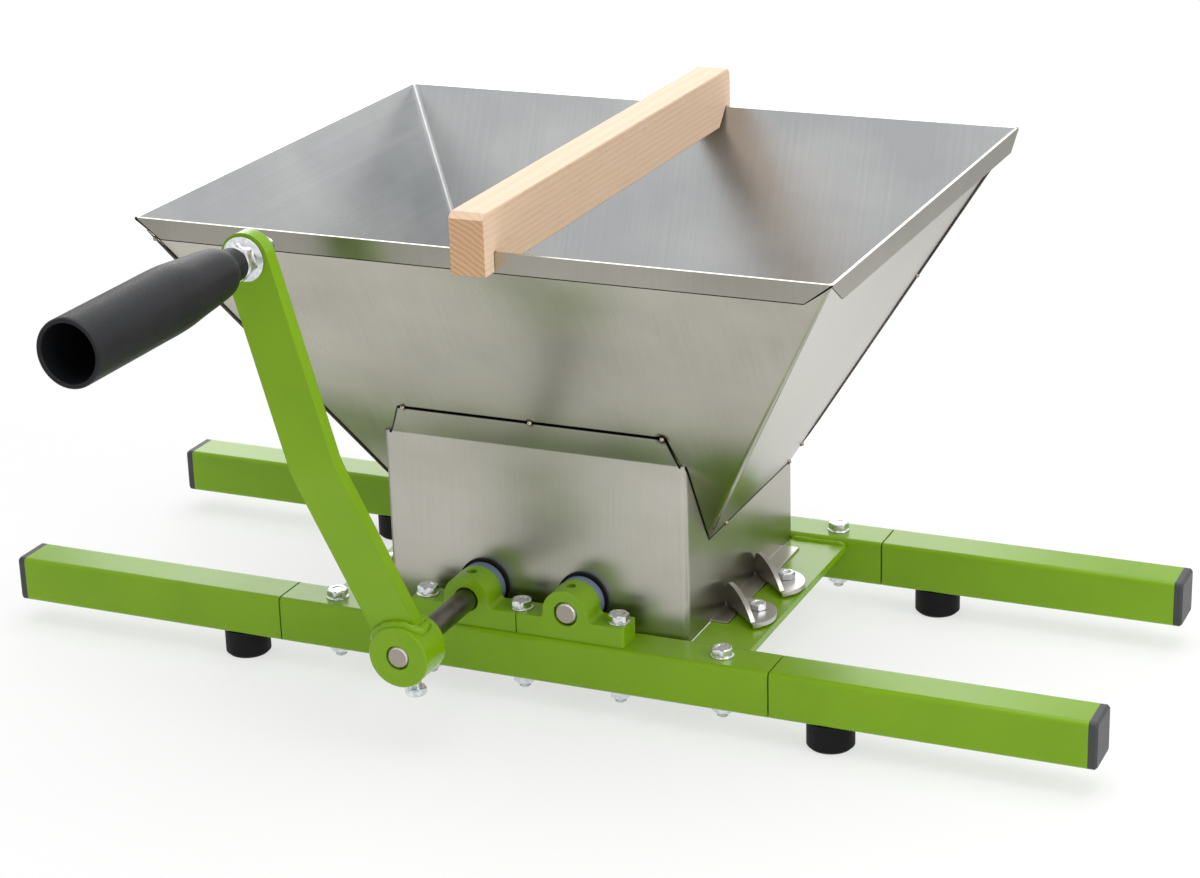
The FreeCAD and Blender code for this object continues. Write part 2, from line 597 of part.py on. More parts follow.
def bearing_block(label, hand, back):
    """A bearing block: a foot with a boss over it. The inner end shares its bolt with the next block."""
    body = new_body(label)
    inner, outer = f"{hand} * block_gap / 2", f"{hand} * block_length"
    shaft_x = f"{hand} * shaft_place"
    foot_outline = [(inner, "0"), (outer, "0"), (outer, "block_base"), (inner, "block_base")]
    pad(body, outline(body, "XZ", foot_outline), "block_depth")
    left, right = f"{shaft_x} - boss_radius", f"{shaft_x} + boss_radius"
    neck = [(left, "block_base / 2"), (right, "block_base / 2"), (right, "shaft_rise"), (left, "shaft_rise")]
    pad(body, outline(body, "XZ", neck), "block_depth")
    pad(body, circle(body, "XZ", "boss_radius", shaft_x, "shaft_rise"), "block_depth")
    base, reach = size("block_base"), size("boss_radius")
    middle = size(shaft_x)
    fillet(body, "boss_fillet", lambda edge: runs_along(edge, Y_AXIS)
           and near(edge.Vertexes[0].Point.z, base) and abs(edge.Vertexes[0].Point.x - middle) < reach + 1)
    far_end = size(outer)
    fillet(body, "block_round", lambda edge: runs_along(edge, Z_AXIS)
           and near(edge.Vertexes[0].Point.x, far_end))
    pocket(body, circle(body, "XZ", "block_bore / 2", shaft_x, "shaft_rise"))
    seat = circle(body, "XZ", "bush_outer / 2 + seat_play", shaft_x, "shaft_rise", "-block_depth / 2")
    pocket(body, seat, "bush_length", "One side", True)
    for x in ("0", f"{hand} * block_bolt_place"):
        pocket(body, circle(body, "XY", "bolt_thread / 2 + hole_play", x))
    hole = circle(body, "XY", "grease_hole / 2", shaft_x, "0", "shaft_rise")
    pocket(body, hole, "2 * boss_radius", "One side", True)
    place(body, 0, f"{back} * block_place", "rail_top", degrees=0 if back < 0 else 180)


def bush(label, x, back):
    """A flanged bush, its flange on the side of the chute."""
    body = new_body(label)
    bore = "shaft_radius + running_play"
    revolve(body, [(bore, "0"), ("bush_outer / 2", "0"), ("bush_outer / 2", "bush_length"),
                   ("bush_flange", "bush_length"), ("bush_flange", "bush_length + bush_flange_thick"),
                   (bore, "bush_length + bush_flange_thick")])
    place(body, x, f"{back} * (block_inside + bush_length)", "shaft_height", X_AXIS, 90 * back)


def bearings():
    """Four blocks with their bushes, and the seal rings on the chute behind them."""
    for end, back in ENDS:
        for side, right in SIDES:
            bearing_block(f"{end}_{side}_block", right * -back, back)
            bush(f"{end}_{side}_bush", f"{right} * shaft_place", back)
    ring = drill("seal_ring", primitive("Cylinder", Radius="seal_radius", Height="seal_thick"),
                 "shaft_radius + seal_play")
    spots = [at(f"{right} * shaft_place", f"{back} * chute_face", "shaft_height", X_AXIS, -90 * back)
             for _, back in ENDS for _, right in SIDES]
    group("shaft_seals", ring, spots)


# The sheet metal.

def polygon_prism(points, way):
    """A solid swept from a flat outline."""
    return Part.Face(Part.makePolygon(points + points[:1])).extrude(way)


def level_rectangle(x_low, x_high, y_low, y_high, z):
    """The four corners of a level rectangle, front left first, then round by the front right."""
    return [Vector(x, y, z) for x, y in ((x_low, y_low), (x_high, y_low), (x_high, y_high), (x_low, y_high))]


def loft(low, high):
    """A straight-sided solid between two level outlines."""
    wires = [Part.makePolygon(points + points[:1]) for points in (low, high)]
    return Part.makeLoft(wires, True, True)


def inset(corners, way):
    """A level rectangle drawn in on all sides."""
    signs = ((1, 1), (-1, 1), (-1, -1), (1, -1))
    return [corner + Vector(sx * way, sy * way, 0) for corner, (sx, sy) in zip(corners, signs)]


def round_corners(solid, low, high, radius, corners=(1, 3)):
    """Rounds the upright edges at the front right and rear left, where a sheet is bent."""
    chosen = []
    for edge in solid.Edges:
        ends = [vertex.Point for vertex in edge.Vertexes]
        for i in corners:
            if all(any((p - corner).Length < 1e-6 for p in ends) for corner in (low[i], high[i])):
                chosen.append(edge)
    return solid.makeFillet(radius, chosen)


def halves(low, high, reach):
    """Two wedges that part a four-sided shell at its front left and rear right corners."""
    gap = size("seam_gap") / 2
    wedges = []
    for corner, side in ((1, 1), (3, -1)):
        outlines = []
        for ring in (low, high):
            way = ring[2] - ring[0]
            way.normalize()
            across = Vector(way.y, -way.x, 0) * (side * gap)
            outward = ring[corner] - (ring[0] + ring[2]) * 0.5
            outward.normalize()
            first = ring[0] - way * reach + across
            last = ring[2] + way * reach + across
            outlines.append([first, ring[corner] + outward * (3 * reach), last])
        wedges.append(loft(*outlines))
    return wedges


def funnel_rings():
    """The outer corners of the funnel's wall at the seam and at the rim."""
    chute_left, chute_right = size("chute_shift - chute_width / 2"), size("chute_shift + chute_width / 2")
    front, back, seam = -size("throat_front"), size("chute_face"), size("seam_height")
    low = level_rectangle(chute_left, chute_right, front, back, seam)
    half_width, half_depth = size("rim_width / 2 - sheet / 2"), size("rim_depth / 2 - sheet / 2")
    x, y, rim = size("rim_right"), size("rim_back"), size("rim_height")
    high = level_rectangle(x - half_width, x + half_width, y - half_depth, y + half_depth, rim)
    return low, high


def hem():
    """The folded hem round the rim: an outer flap with mitred corners."""
    x, y, top = size("rim_right"), size("rim_back"), size("rim_height")
    half_width, half_depth = size("rim_width / 2"), size("rim_depth / 2")
    drop, sheet_thick, mitre = size("hem_height"), size("sheet"), size("hem_mitre")
    outer = level_rectangle(x - half_width, x + half_width, y - half_depth, y + half_depth, top - drop)
    ring = polygon_prism(outer, Vector(0, 0, drop))
    ring = ring.cut(polygon_prism(inset(outer, sheet_thick), Vector(0, 0, drop)))
    for corner in outer:
        tip = corner + Vector(0, 0, drop - sheet_thick)
        wide, narrow = ((spot.x - reach, spot.x + reach, spot.y - reach, spot.y + reach, spot.z)
                        for spot, reach in ((corner, mitre), (tip, 0.05)))
        ring = ring.cut(loft(level_rectangle(*wide), level_rectangle(*narrow)))
    return ring


def funnel():
    """The funnel as two bent sheets: front with right, and rear with left."""
    low, high = funnel_rings()
    bend = size("sheet_bend")
    run = size("sheet") * 1.15
    shell = round_corners(loft(low, high), low, high, bend)
    inner_low, inner_high = inset(low, run), inset(high, run)
    hollow = round_corners(loft(inner_low, inner_high), inner_low, inner_high, bend - size("sheet") / 2)
    shell = shell.cut(hollow).fuse(hem()).removeSplitter()
    reach = size("hem_mitre")
    down, up = size("seam_height") - 1, size("rim_height") + 1
    slope = [(b - a) * (1 / (b.z - a.z)) for a, b in zip(low, high)]
    below = [a + way * (down - a.z) for a, way in zip(low, slope)]
    above = [a + way * (up - a.z) for a, way in zip(low, slope)]
    front, rear = halves(below, above, reach)
    solid_feature("front_hopper_sheet", shell.common(front))
    solid_feature("rear_hopper_sheet", shell.common(rear))


def funnel_front_slope():
    """How far the funnel's front wall runs outwards for each millimetre that it rises."""
    low, high = funnel_rings()
    return (low[0].y - high[0].y) / (high[0].z - low[0].z)


def chute():
    """The chute as two bent sheets. The front one has a tab that lies on the funnel's wall."""
    left, right = size("chute_shift - chute_width / 2"), size("chute_shift + chute_width / 2")
    face, thick, bottom = size("chute_face"), size("sheet"), size("chute_bottom")
    seam, slope, plate = size("seam_height"), funnel_front_slope(), size("plate_top")
    fold = seam + (face - thick - size("throat_front")) / slope
    outer = level_rectangle(left, right, -face, face, bottom)
    top = [corner + Vector(0, 0, fold - bottom) for corner in outer]
    shell = round_corners(loft(outer, top), outer, top, size("sheet_bend"))
    inner, inner_top = inset(outer, thick), inset(top, thick)
    shell = shell.cut(round_corners(loft(inner, inner_top), inner, inner_top, size("sheet_bend") - thick))
    side_view = [Vector(left, -face, bottom), Vector(left, face, bottom), Vector(left, face, seam),
                 Vector(left, -size("throat_front"), seam), Vector(left, -face + thick, fold),
                 Vector(left, -face, fold)]
    shell = shell.common(polygon_prism(side_view, Vector(right - left, 0, 0)))
    window = polygon_prism(level_rectangle(left - 1, right + 1, -face + thick, face - thick, bottom),
                           Vector(0, 0, plate - bottom))
    shell = shell.cut(window)
    for x in (-size("shaft_place"), size("shaft_place")):
        start = Vector(x, -2 * face, size("shaft_height"))
        shell = shell.cut(Part.makeCylinder(size("chute_hole"), 4 * face, start, Y_AXIS))
    bases = [outer, top]
    front, rear = halves(*bases, size("hem_mitre"))
    sheets = [shell.common(front), shell.common(rear)]
    sheets[0] = sheets[0].fuse(tab(left, right, -face + thick, fold, slope))
    for index, (_, way) in ((1, SIDES[0]), (0, SIDES[1])):
        wall = right if way > 0 else left
        x_low, x_high = sorted((wall - way * thick, wall + way * size("flange_width")))
        lap = level_rectangle(x_low, x_high, -size("flange_front"), size("flange_back"), plate)
        flange = polygon_prism(lap, Vector(0, 0, thick))
        sheets[index] = sheets[index].fuse(flange)
    solid_feature("front_chute_sheet", sheets[0].removeSplitter())
    solid_feature("rear_chute_sheet", sheets[1].removeSplitter())


def tab(left, right, y, z, slope):
    """The chute's front tab, a strip with cut corners that leans out along the funnel's wall."""
    rise = Vector(0, -slope, 1).normalize()
    out = Vector(0, -1, -slope).normalize()
    length, skip = size("tab_length"), size("sheet_bend")
    top_left, top_right = left + size("tab_taper_left"), right - size("tab_taper_right")
    corners = [Vector(left + skip, y, z), Vector(right - skip, y, z),
               Vector(top_right, y, z) + rise * length, Vector(top_left, y, z) + rise * length]
    return polygon_prism(corners, out * size("sheet"))


def guide_plates():
    """Sloping plates that lead the fruit from the chute's sides on to the rollers."""
    top, lip_x = "(seam_height - guide_drop)", "(shaft_place + tooth_reach + guide_gap)"
    lip_z = "(shaft_height + guide_lip / 2)"
    for side, right in SIDES:
        wall = f"({right} * chute_shift + chute_width / 2 - sheet)"
        body = new_body(f"{side}_guide_plate")
        points = [(wall, top), (wall, f"{top} + guide_flange"),
                  (f"{wall} - guide_sheet", f"{top} + guide_flange"),
                  (f"{wall} - guide_sheet", f"{top} + guide_sheet / 2"), (lip_x, f"{lip_z} + guide_sheet"),
                  (lip_x, f"{lip_z} - guide_lip"), (f"{lip_x} + guide_sheet", f"{lip_z} - guide_lip"),
                  (f"{lip_x} + guide_sheet", f"{lip_z} - guide_sheet / 4")]
        pad(body, outline(body, "XZ", [(f"{right} * ({x})", z) for x, z in points]),
            "2 * (chute_face - sheet_bend - guide_end_gap)")
        place(body)


# The clips that hold the chute down.

def clip_bolt_spot(right, back, y):
    """Where a clip's bolt stands in plan."""
    lean = "sqrt(0.5)"
    x = f"{right} * (chute_width / 2 + clip_radius * {lean} + clip_bolt_lap * {lean}) + chute_shift"
    return x, f"{back} * {y} + clip_bolt_lap * {lean}"


def clip_shape():
    """One right-hand clip about the middle of its fold, the fold along X and the flat half towards +Y."""
    reach, thick, lap, rise = size("clip_radius"), size("clip_thick"), size("clip_lap"), size("clip_rise")
    flat = Part.Face(Part.Wire([
        Part.LineSegment(Vector(-reach, 0, 0), Vector(reach, 0, 0)).toShape(),
        Part.Arc(Vector(reach, 0, 0), Vector(0, lap, 0), Vector(-reach, 0, 0)).toShape()]))
    top = Vector(-0.62 * reach, 0, rise)
    upright = Part.Face(Part.Wire([
        Part.LineSegment(Vector(-reach, 0, 0), Vector(reach, 0, 0)).toShape(),
        Part.Arc(Vector(reach, 0, 0), Vector(0.3 * reach, 0, 0.72 * rise), top).toShape(),
        Part.Arc(top, Vector(-0.88 * reach, 0, 0.9 * rise), Vector(-reach, 0, 0.6 * rise)).toShape(),
        Part.LineSegment(Vector(-reach, 0, 0.6 * rise), Vector(-reach, 0, 0)).toShape()]))
    bend = Part.makeCylinder(thick, 2 * reach, Vector(-reach, thick, thick), X_AXIS)
    folded = flat.extrude(Vector(0, 0, thick)).fuse(upright.extrude(Vector(0, thick, 0)))
    corner = Part.makeBox(2 * reach, thick, thick, Vector(-reach, 0, 0)).cut(bend)
    folded = folded.cut(corner)
    hole = Part.makeCylinder(size("clip_thread / 2 + hole_play"), 3 * thick,
                             Vector(0, size("clip_bolt_lap"), -thick))
    return folded.cut(hole).removeSplitter()


def clips():
    """Two folded clips on each side, with their bolts and nuts."""
    foot_level = "plate_top + sheet"
    lean = "sqrt(0.5)"
    bolts = []
    for side, right in SIDES:
        solids = []
        for back, y in (("-1", "clip_front"), ("1", "clip_back")):
            shape = clip_shape()
            shape.Placement = Placement(Vector(0, 0, 0), Rotation(Z_AXIS, -45))
            shape = shape.copy()
            if right < 0:
                shape = shape.mirror(Vector(0, 0, 0), X_AXIS)
            shape.translate(Vector(size(f"{right} * (chute_width / 2 + clip_radius * {lean}) + chute_shift"),
                                   size(f"{back} * {y}"), size(foot_level)))
            solids.append(shape)
            bolts.append(clip_bolt_spot(right, back, y))
        solid_feature(f"{side}_clips", Part.makeCompound(solids))
    grip = "(clip_thick + sheet + plate_thick)"
    below = f"({grip} + clip_nut + clip_bolt_end)"
    bolt = fuse("clip_bolt", [hexagon("clip_flats", "clip_bolt_head", 0),
                              cylinder_up("clip_thread / 2", below, f"-{below}")])
    nut = drill("clip_nut", hexagon("clip_flats", "clip_nut", "-clip_nut"), "clip_thread / 2")
    group("clip_bolts", bolt, [at(x, y, f"{foot_level} + clip_thick", Z_AXIS, 12) for x, y in bolts])
    group("clip_nuts", nut, [at(x, y, "plate_top - plate_thick", Z_AXIS, 12) for x, y in bolts])


# The rollers and their drive.

def shaft(label, x, front):
    """A round shaft with chamfered ends, from its front end to behind the gear."""
    body = new_body(label)
    length = f"({front} + shaft_back)"
    revolve(body, [("0", "0"), ("shaft_radius - shaft_chamfer", "0"), ("shaft_radius", "shaft_chamfer"),
                   ("shaft_radius", f"{length} - shaft_chamfer"), ("shaft_radius - shaft_chamfer", length),
                   ("0", length)])
    place(body, x, f"-({front})", "shaft_height", X_AXIS, -90)


def roller_core(label, x, turn):
    """A roller's core: a thick tube with slots for the blades."""
    body = new_body(label)
    pad(body, circle(body, "XZ", "core_radius"), "2 * (chute_face - sheet - roller_play)")
    pocket(body, circle(body, "XZ", "shaft_radius + seat_play"))
    seat = rectangle(body, "XZ", "2 * blade_seat", "blade_thick + 2 * blade_play", "core_radius", "0")
    slot = pocket(body, seat)
    pattern = body.newObject("PartDesign::PolarPattern", "slots")
    pattern.Originals = [slot]
    pattern.Axis = (slot.Profile[0], ["N_Axis"])
    pattern.Angle = 360
    pattern.Occurrences = int(size("blade_count"))
    body.Tip = pattern
    doc.recompute()
    place(body, x, 0, "shaft_height", Y_AXIS, turn)


def roller_blades(label, x, turn, shift):
    """The toothed blades of one roller, as equal strips set round the core."""
    count, pitch = int(size("tooth_count")), size("tooth_pitch")
    root = size("core_radius - blade_seat + blade_play")
    tip, depth = size("tooth_reach"), size("tooth_depth")
    flat, half = size("tooth_tip") / 2, size("blade_thick") / 2
    start = -count * pitch / 2
    points = [Vector(root, start, -half)]
    for i in range(count):
        middle = start + (i + 0.5) * pitch + shift * pitch / 4
        points += [Vector(tip - depth, middle - pitch / 2 if i or shift > 0 else start, -half),
                   Vector(tip, middle - flat, -half), Vector(tip, middle + flat, -half)]
    points += [Vector(tip - depth, -start, -half), Vector(root, -start, -half)]
    blade = polygon_prism(points, Vector(0, 0, 2 * half))
    number = int(size("blade_count"))
    solids = []
    for i in range(number):
        copy = blade.copy()
        copy.rotate(Vector(0, 0, 0), Y_AXIS, turn + 360 * i / number)
        copy.translate(Vector(size(x), 0, size("shaft_height")))
        solids.append(copy)
    solid_feature(label, Part.makeCompound(solids))


def involute_point(base, radius, start_angle, side):
    """A point of a tooth's flank at a radius; side is 1 or -1 for the two flanks."""
    pressure = math.acos(min(1.0, base / radius))
    angle = start_angle + side * (math.tan(pressure) - pressure)
    return Vector(radius * math.cos(angle), 0, radius * math.sin(angle))


def gear_outline():
    """The outline of a spur gear in the XZ plane, one tooth pointing along +X."""
    teeth, module = int(size("gear_teeth")), size("gear_module")
    pitch_radius = teeth * module / 2
    base = pitch_radius * math.cos(math.radians(20))
    tip, root = pitch_radius + module, pitch_radius - 1.25 * module
    roll = math.tan(math.radians(20)) - math.radians(20)
    half_tooth = math.pi / (2 * teeth) - size("gear_backlash") / (2 * pitch_radius)
    edges = []
    for i in range(teeth):
        middle = 2 * math.pi * i / teeth
        rising, falling = middle - half_tooth - roll, middle + half_tooth + roll
        low, mid = max(base, root), (max(base, root) + tip) / 2
        a = [involute_point(base, r, rising, 1) for r in (low, mid, tip)]
        b = [involute_point(base, r, falling, -1) for r in (tip, mid, low)]
        start = rising + 2 * math.pi / teeth
        feet = [Vector(root * math.cos(turn), 0, root * math.sin(turn)) for turn in (rising, falling, start)]
        edges += [Part.LineSegment(feet[0], a[0]), Part.Arc(*a), Part.LineSegment(a[2], b[0]), Part.Arc(*b),
                  Part.LineSegment(b[2], feet[1]), Part.LineSegment(feet[1], feet[2])]
    return Part.Face(Part.Wire([edge.toShape() for edge in edges]))


def gear(label, x, turn):
    """A spur gear with an inner hub that keeps it off the block and an outer hub pressed on the shaft."""
    front, width, back = size("gear_front"), size("gear_width"), size("shaft_back")
    spacer_start = size("block_outside + gear_thrust_gap")
    body = gear_outline().extrude(Vector(0, width, 0))
    body.rotate(Vector(0, 0, 0), Y_AXIS, turn)
    body.translate(Vector(0, front, 0))
    start, end = Vector(0, spacer_start, 0), Vector(0, front + width, 0)
    spacer = Part.makeCylinder(size("gear_spacer_radius"), front - spacer_start, start, Y_AXIS)
    outer = Part.makeCylinder(size("gear_hub_radius"), back - front - width, end, Y_AXIS)
    body = body.fuse(spacer).fuse(outer).removeSplitter()
    body = body.cut(Part.makeCylinder(size("shaft_radius + seat_play"), 2 * back, Vector(0, 0, 0), Y_AXIS))
    body.translate(Vector(size(x), 0, size("shaft_height")))
    solid_feature(label, body)


def crank_turned(shape):
    """Leans a part of the crank, built upright over the shaft, to its place at rest."""
    shape.rotate(Vector(0, 0, 0), Y_AXIS, -size("crank_lean"))
    shape.translate(Vector(-size("shaft_place"), 0, size("shaft_height")))
    return shape


def crank_hub():
    """The crank's hub: a thick ring on the shaft's end with a threaded hole for the set bolt."""
    body = new_body("crank_hub")
    pad(body, circle(body, "XZ", "hub_radius"), "hub_length")
    edge_y = size("hub_length / 2")
    fillet(body, "hub_chamfer", lambda edge: near(abs(edge.BoundBox.YMin), edge_y)
           and near(edge.BoundBox.YLength, 0), "Chamfer")
    pocket(body, circle(body, "XZ", "shaft_radius + hub_play"))
    hole = circle(body, "XY", "set_bolt_thread / 2 + seat_play", "0", "hub_length / 2 - set_bolt_inset")
    pocket(body, hole, "hub_radius * 2", "One side")
    place(body, "-shaft_place", "-(hub_front - hub_length / 2)", "shaft_height")


def crank_arm():
    """The crank's flat bar: it leans out from the hub, bends upright and ends round at the grip's bolt."""
    length, width, thick = size("crank_length"), size("arm_width"), size("arm_thick")
    root, out, bend = -size("arm_root"), -size("arm_out"), size("arm_bend")
    run = Vector(0, out - root, bend).normalize()
    side = Vector(0, run.z, -run.y)
    up = Vector(0, 0, 1)
    miter = (side + Y_AXIS).normalize()
    miter = miter * (thick / 2 / miter.dot(Y_AXIS))
    foot_y, foot_z = root, 0
    knee = Vector(0, out, bend)
    end = Vector(0, out, length + width / 2)
    start = Vector(0, foot_y, foot_z)
    half = Y_AXIS * (thick / 2)
    points = [start + side * (thick / 2), knee + miter, end + half, end - half, knee - miter,
              start - side * (thick / 2)]
    points = [point - X_AXIS * (width / 2) for point in points]
    bar = polygon_prism(points, X_AXIS * width)
    knees = [edge for edge in bar.Edges if runs_along(edge, X_AXIS)
             and near(edge.Vertexes[0].Point.z, bend, thick)]
    bar = bar.makeFillet(size("arm_bend_radius"), knees)
    depth, first = 4 * thick + abs(out - root), out - 2 * thick
    plan = Part.makeBox(width, depth, length, Vector(-width / 2, first, 0))
    plan = plan.fuse(Part.makeCylinder(width / 2, depth, Vector(0, first, length), Y_AXIS))
    bar = bar.common(plan)
    bore = Part.makeCylinder(size("hub_radius"), 4 * length, Vector(0, -2 * length, 0), Y_AXIS)
    below = Part.makeBox(4 * width, 4 * length, length, Vector(-2 * width, -2 * length, -length))
    hole_radius, hole_start = size("grip_thread / 2 + seat_play"), Vector(0, -2 * length, length)
    hole = Part.makeCylinder(hole_radius, 4 * length, hole_start, Y_AXIS)
    bar = bar.cut(bore).cut(below).cut(hole)
    solid_feature("crank_arm", crank_turned(bar.removeSplitter()))


def set_bolt():
    """The hexagon bolt under the hub, screwed up against the shaft."""
    tip = "(shaft_radius + seat_play)"
    head_top = "(hub_radius + set_bolt_out)"
    bolt = fuse("set_bolt", [hexagon("set_bolt_flats", "set_bolt_head", f"-{head_top} - set_bolt_head"),
                             cylinder_up("set_bolt_thread / 2", f"{head_top} - {tip}", f"-{head_top}")])
    group("crank_set_bolt", bolt, [at("-shaft_place", "-set_bolt_place", "shaft_height")])


def grip_spot():
    """A placement that carries a solid along Z to the grip's axis, its Z pointing out to the front."""
    return Placement(Vector(-size("grip_left"), 0, size("grip_height")), Rotation(X_AXIS, 90))


def handle():
    """The grip on its bolt, which a flange nut and a back nut clamp to the arm."""
    inside = "(arm_out - arm_thick / 2)"
    head_low = "(grip_start + grip_web + grip_end_gap)"
    tail = f"({inside} - grip_back_nut - grip_bolt_end)"
    bolt = fuse("grip_bolt_blank", [cylinder_up("grip_thread / 2", f"{head_low} - {tail}", tail),
                                    hexagon("grip_nut_flats", "grip_bolt_head", head_low)])
    group("handle_bolt", bolt, [grip_spot()])
    flange = primitive("Cone", Radius1="grip_nut_flange / 2", Radius2="grip_nut_flats / 2 + 0.8",
                       Height="grip_nut_flange_thick")
    bind(flange, "Placement.Base.z", "arm_face")
    blank = fuse("front_nut_blank", [flange, hexagon("grip_nut_flats", "grip_nut", "arm_face")])
    front_nut = drill_out("front_nut", blank)
    group("handle_nut", front_nut, [grip_spot()])
    back_nut = drill_out("back_nut", hexagon("grip_nut_flats", "grip_back_nut", f"{inside} - grip_back_nut"))
    group("handle_back_nut", back_nut, [grip_spot()])
    body = new_body("handle_grip")
    bore = "grip_thread / 2 + grip_play"
    revolve(body, [(bore, "0"), ("grip_neck", "0"), ("grip_neck", "grip_neck_length"),
                   ("grip_shoulder", "grip_shoulder_end"), ("grip_radius", "grip_taper_end"),
                   ("grip_radius", "grip_length"), ("grip_bore", "grip_length"),
                   ("grip_bore", "grip_taper_end"), ("grip_bore - 2.5", "grip_web"), (bore, "grip_web")])
    body.Placement = grip_spot()
    bind(body, "Placement.Base.x", "-grip_left")
    bind(body, "Placement.Base.z", "grip_height")
    bind(body, "Placement.Base.y", "middle_back - grip_start")


def drill_out(name, base):
    """The thread hole of a grip nut, far out on the grip's axis."""
    tool = primitive("Cylinder", Radius="grip_thread / 2", Height="2 * arm_face")
    cut = doc.addObject("Part::Cut", name)
    cut.Base = base
    cut.Tool = tool
    return cut


# The wooden bar across the rim.

def wooden_bar():
    """A square-edged bar with a hook at each end over the rim, and a sloped inner side to each notch."""
    front_rim, back_rim = "(rim_depth / 2 - rim_back)", "(rim_depth / 2 + rim_back)"
    roof = "(rim_height + bar_seat_play)"
    body = new_body("wooden_bar")
    half = "bar_length / 2"
    points = [(f"-{half}", "bar_low"), (f"-{front_rim} - bar_seat_play", "bar_low"),
              (f"-{front_rim} - bar_seat_play", roof), (f"-{front_rim} + bar_notch_top", roof),
              (f"-{front_rim} + bar_notch_top + bar_notch_slope", "bar_low"),
              (f"{back_rim} - bar_notch_top - bar_notch_slope", "bar_low"),
              (f"{back_rim} - bar_notch_top", roof), (f"{back_rim} + bar_seat_play", roof),
              (f"{back_rim} + bar_seat_play", "bar_low"), (half, "bar_low"),
              (half, "bar_top - bar_chamfer"), (f"{half} - bar_chamfer", "bar_top"),
              (f"-{half} + bar_chamfer", "bar_top"), (f"-{half}", "bar_top - bar_chamfer")]
    pad(body, outline(body, "YZ", points), "bar_width")
    top = size("bar_top")
    fillet(body, "bar_edge", lambda edge: runs_along(edge, Y_AXIS) and near(edge.Vertexes[0].Point.z, top))
    place(body, "bar_right", 0, 0)


def check_and_write():
    """Stops on any failed object, then writes each sub-part to its own file."""
    doc.recompute()
    bad = [obj.Label for obj in doc.Objects if "Invalid" in obj.State or "Error" in obj.State]
    bad += [part.Label for part in SUBPARTS if part.Shape.isNull() or not part.Shape.isValid()]
    if bad:
        raise ValueError("failed objects: " + ", ".join(bad))
    os.makedirs("parts", exist_ok=True)
    for part in SUBPARTS:
        part.Shape.exportStep(f"parts/{part.Label}.step")
    print(len(SUBPARTS), "sub-parts written")


fill_sheet()
rails()
arms()
cross_plates()
foot_screws()
frame_fasteners()
bearings()
funnel()
chute()
guide_plates()
clips()
HALF_BLADE_TURN = 180 / size("blade_count")
HALF_TOOTH_TURN = 180 / size("gear_teeth")
shaft("drive_shaft", "-shaft_place", "hub_front")
shaft("idler_shaft", "shaft_place", "block_outside")
roller_core("drive_roller_core", "-shaft_place", 0)
roller_core("idler_roller_core", "shaft_place", HALF_BLADE_TURN)
roller_blades("drive_roller_blades", "-shaft_place", 0, 1)
roller_blades("idler_roller_blades", "shaft_place", HALF_BLADE_TURN, -1)
gear("drive_gear", "-shaft_place", 0)
gear("idler_gear", "shaft_place", HALF_TOOTH_TURN)
crank_hub()
crank_arm()
set_bolt()
handle()
wooden_bar()
check_and_write()
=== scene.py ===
"""The looks of a hand-cranked apple scratter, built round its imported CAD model."""
import logging
import math
from collections.abc import Iterable, Sequence
from dataclasses import dataclass, field
from enum import Enum

import bpy
from mathutils import Matrix, Vector, noise


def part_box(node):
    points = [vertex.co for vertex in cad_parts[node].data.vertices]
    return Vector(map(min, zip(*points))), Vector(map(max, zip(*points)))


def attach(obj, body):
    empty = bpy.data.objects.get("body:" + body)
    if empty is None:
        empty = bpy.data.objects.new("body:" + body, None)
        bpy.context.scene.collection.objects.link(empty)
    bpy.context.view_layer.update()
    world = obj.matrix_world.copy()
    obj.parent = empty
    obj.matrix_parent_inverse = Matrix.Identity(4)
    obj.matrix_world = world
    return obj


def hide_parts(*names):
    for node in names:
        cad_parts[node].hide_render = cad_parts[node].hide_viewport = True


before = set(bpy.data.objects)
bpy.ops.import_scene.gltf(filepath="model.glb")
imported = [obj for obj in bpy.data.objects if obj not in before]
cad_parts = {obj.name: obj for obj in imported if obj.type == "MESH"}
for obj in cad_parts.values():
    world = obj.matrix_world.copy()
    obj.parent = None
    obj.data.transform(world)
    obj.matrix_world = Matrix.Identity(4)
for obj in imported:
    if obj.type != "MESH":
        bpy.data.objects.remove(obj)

Material = bpy.types.Material
Node = bpy.types.Node
Socket = bpy.types.NodeSocket
Place = tuple[float, float, float]
Line = tuple[Place, Place]
Seam = tuple[Place, Place, float]
Ring = tuple[float, float, float]
LOG = logging.getLogger("scratter")
MM = 0.001
MIXED = {"output": "Result", "data_type": "RGBA"}
MULTIPLIED = MIXED | {"blend_type": "MULTIPLY"}
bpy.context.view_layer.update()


class Corner(Enum):
    """The four corners of the tube frame."""

    FRONT_LEFT = "front_left"
    FRONT_RIGHT = "front_right"
    REAR_LEFT = "rear_left"
    REAR_RIGHT = "rear_right"

    @classmethod
    def nodes(cls, part: str) -> list[str]:
        """The four nodes of a part that every corner has."""
        return [f"{corner.value}_{part}" for corner in cls]


class Body(Enum):
    """The bodies that pieces ride on."""

    FRAME = "frame"
    DRIVE = "drive"
    IDLER = "idler"
    GRIP = "grip"
    BAR = "bar"


def linear(hex_colour: str) -> tuple[float, float, float, float]:
    """Turns an sRGB hex colour into linear light.

    Args:
        hex_colour: Six hex digits after a hash sign.

    Returns:
        Red, green, blue and an alpha of 1.
    """
    channels = [int(hex_colour[i:i + 2], 16) / 255 for i in (1, 3, 5)]
    light = [c / 12.92 if c <= 0.04045 else ((c + 0.055) / 1.055) ** 2.4 for c in channels]
    return (light[0], light[1], light[2], 1.0)


def spread(value: Socket, low: float, high: float) -> dict[str, Socket | float]:
    """The inputs that map noise from its usual 0.3 to 0.7 on to another range."""
    return {"Value": value, "From Min": 0.3, "From Max": 0.7, "To Min": low, "To Max": high}


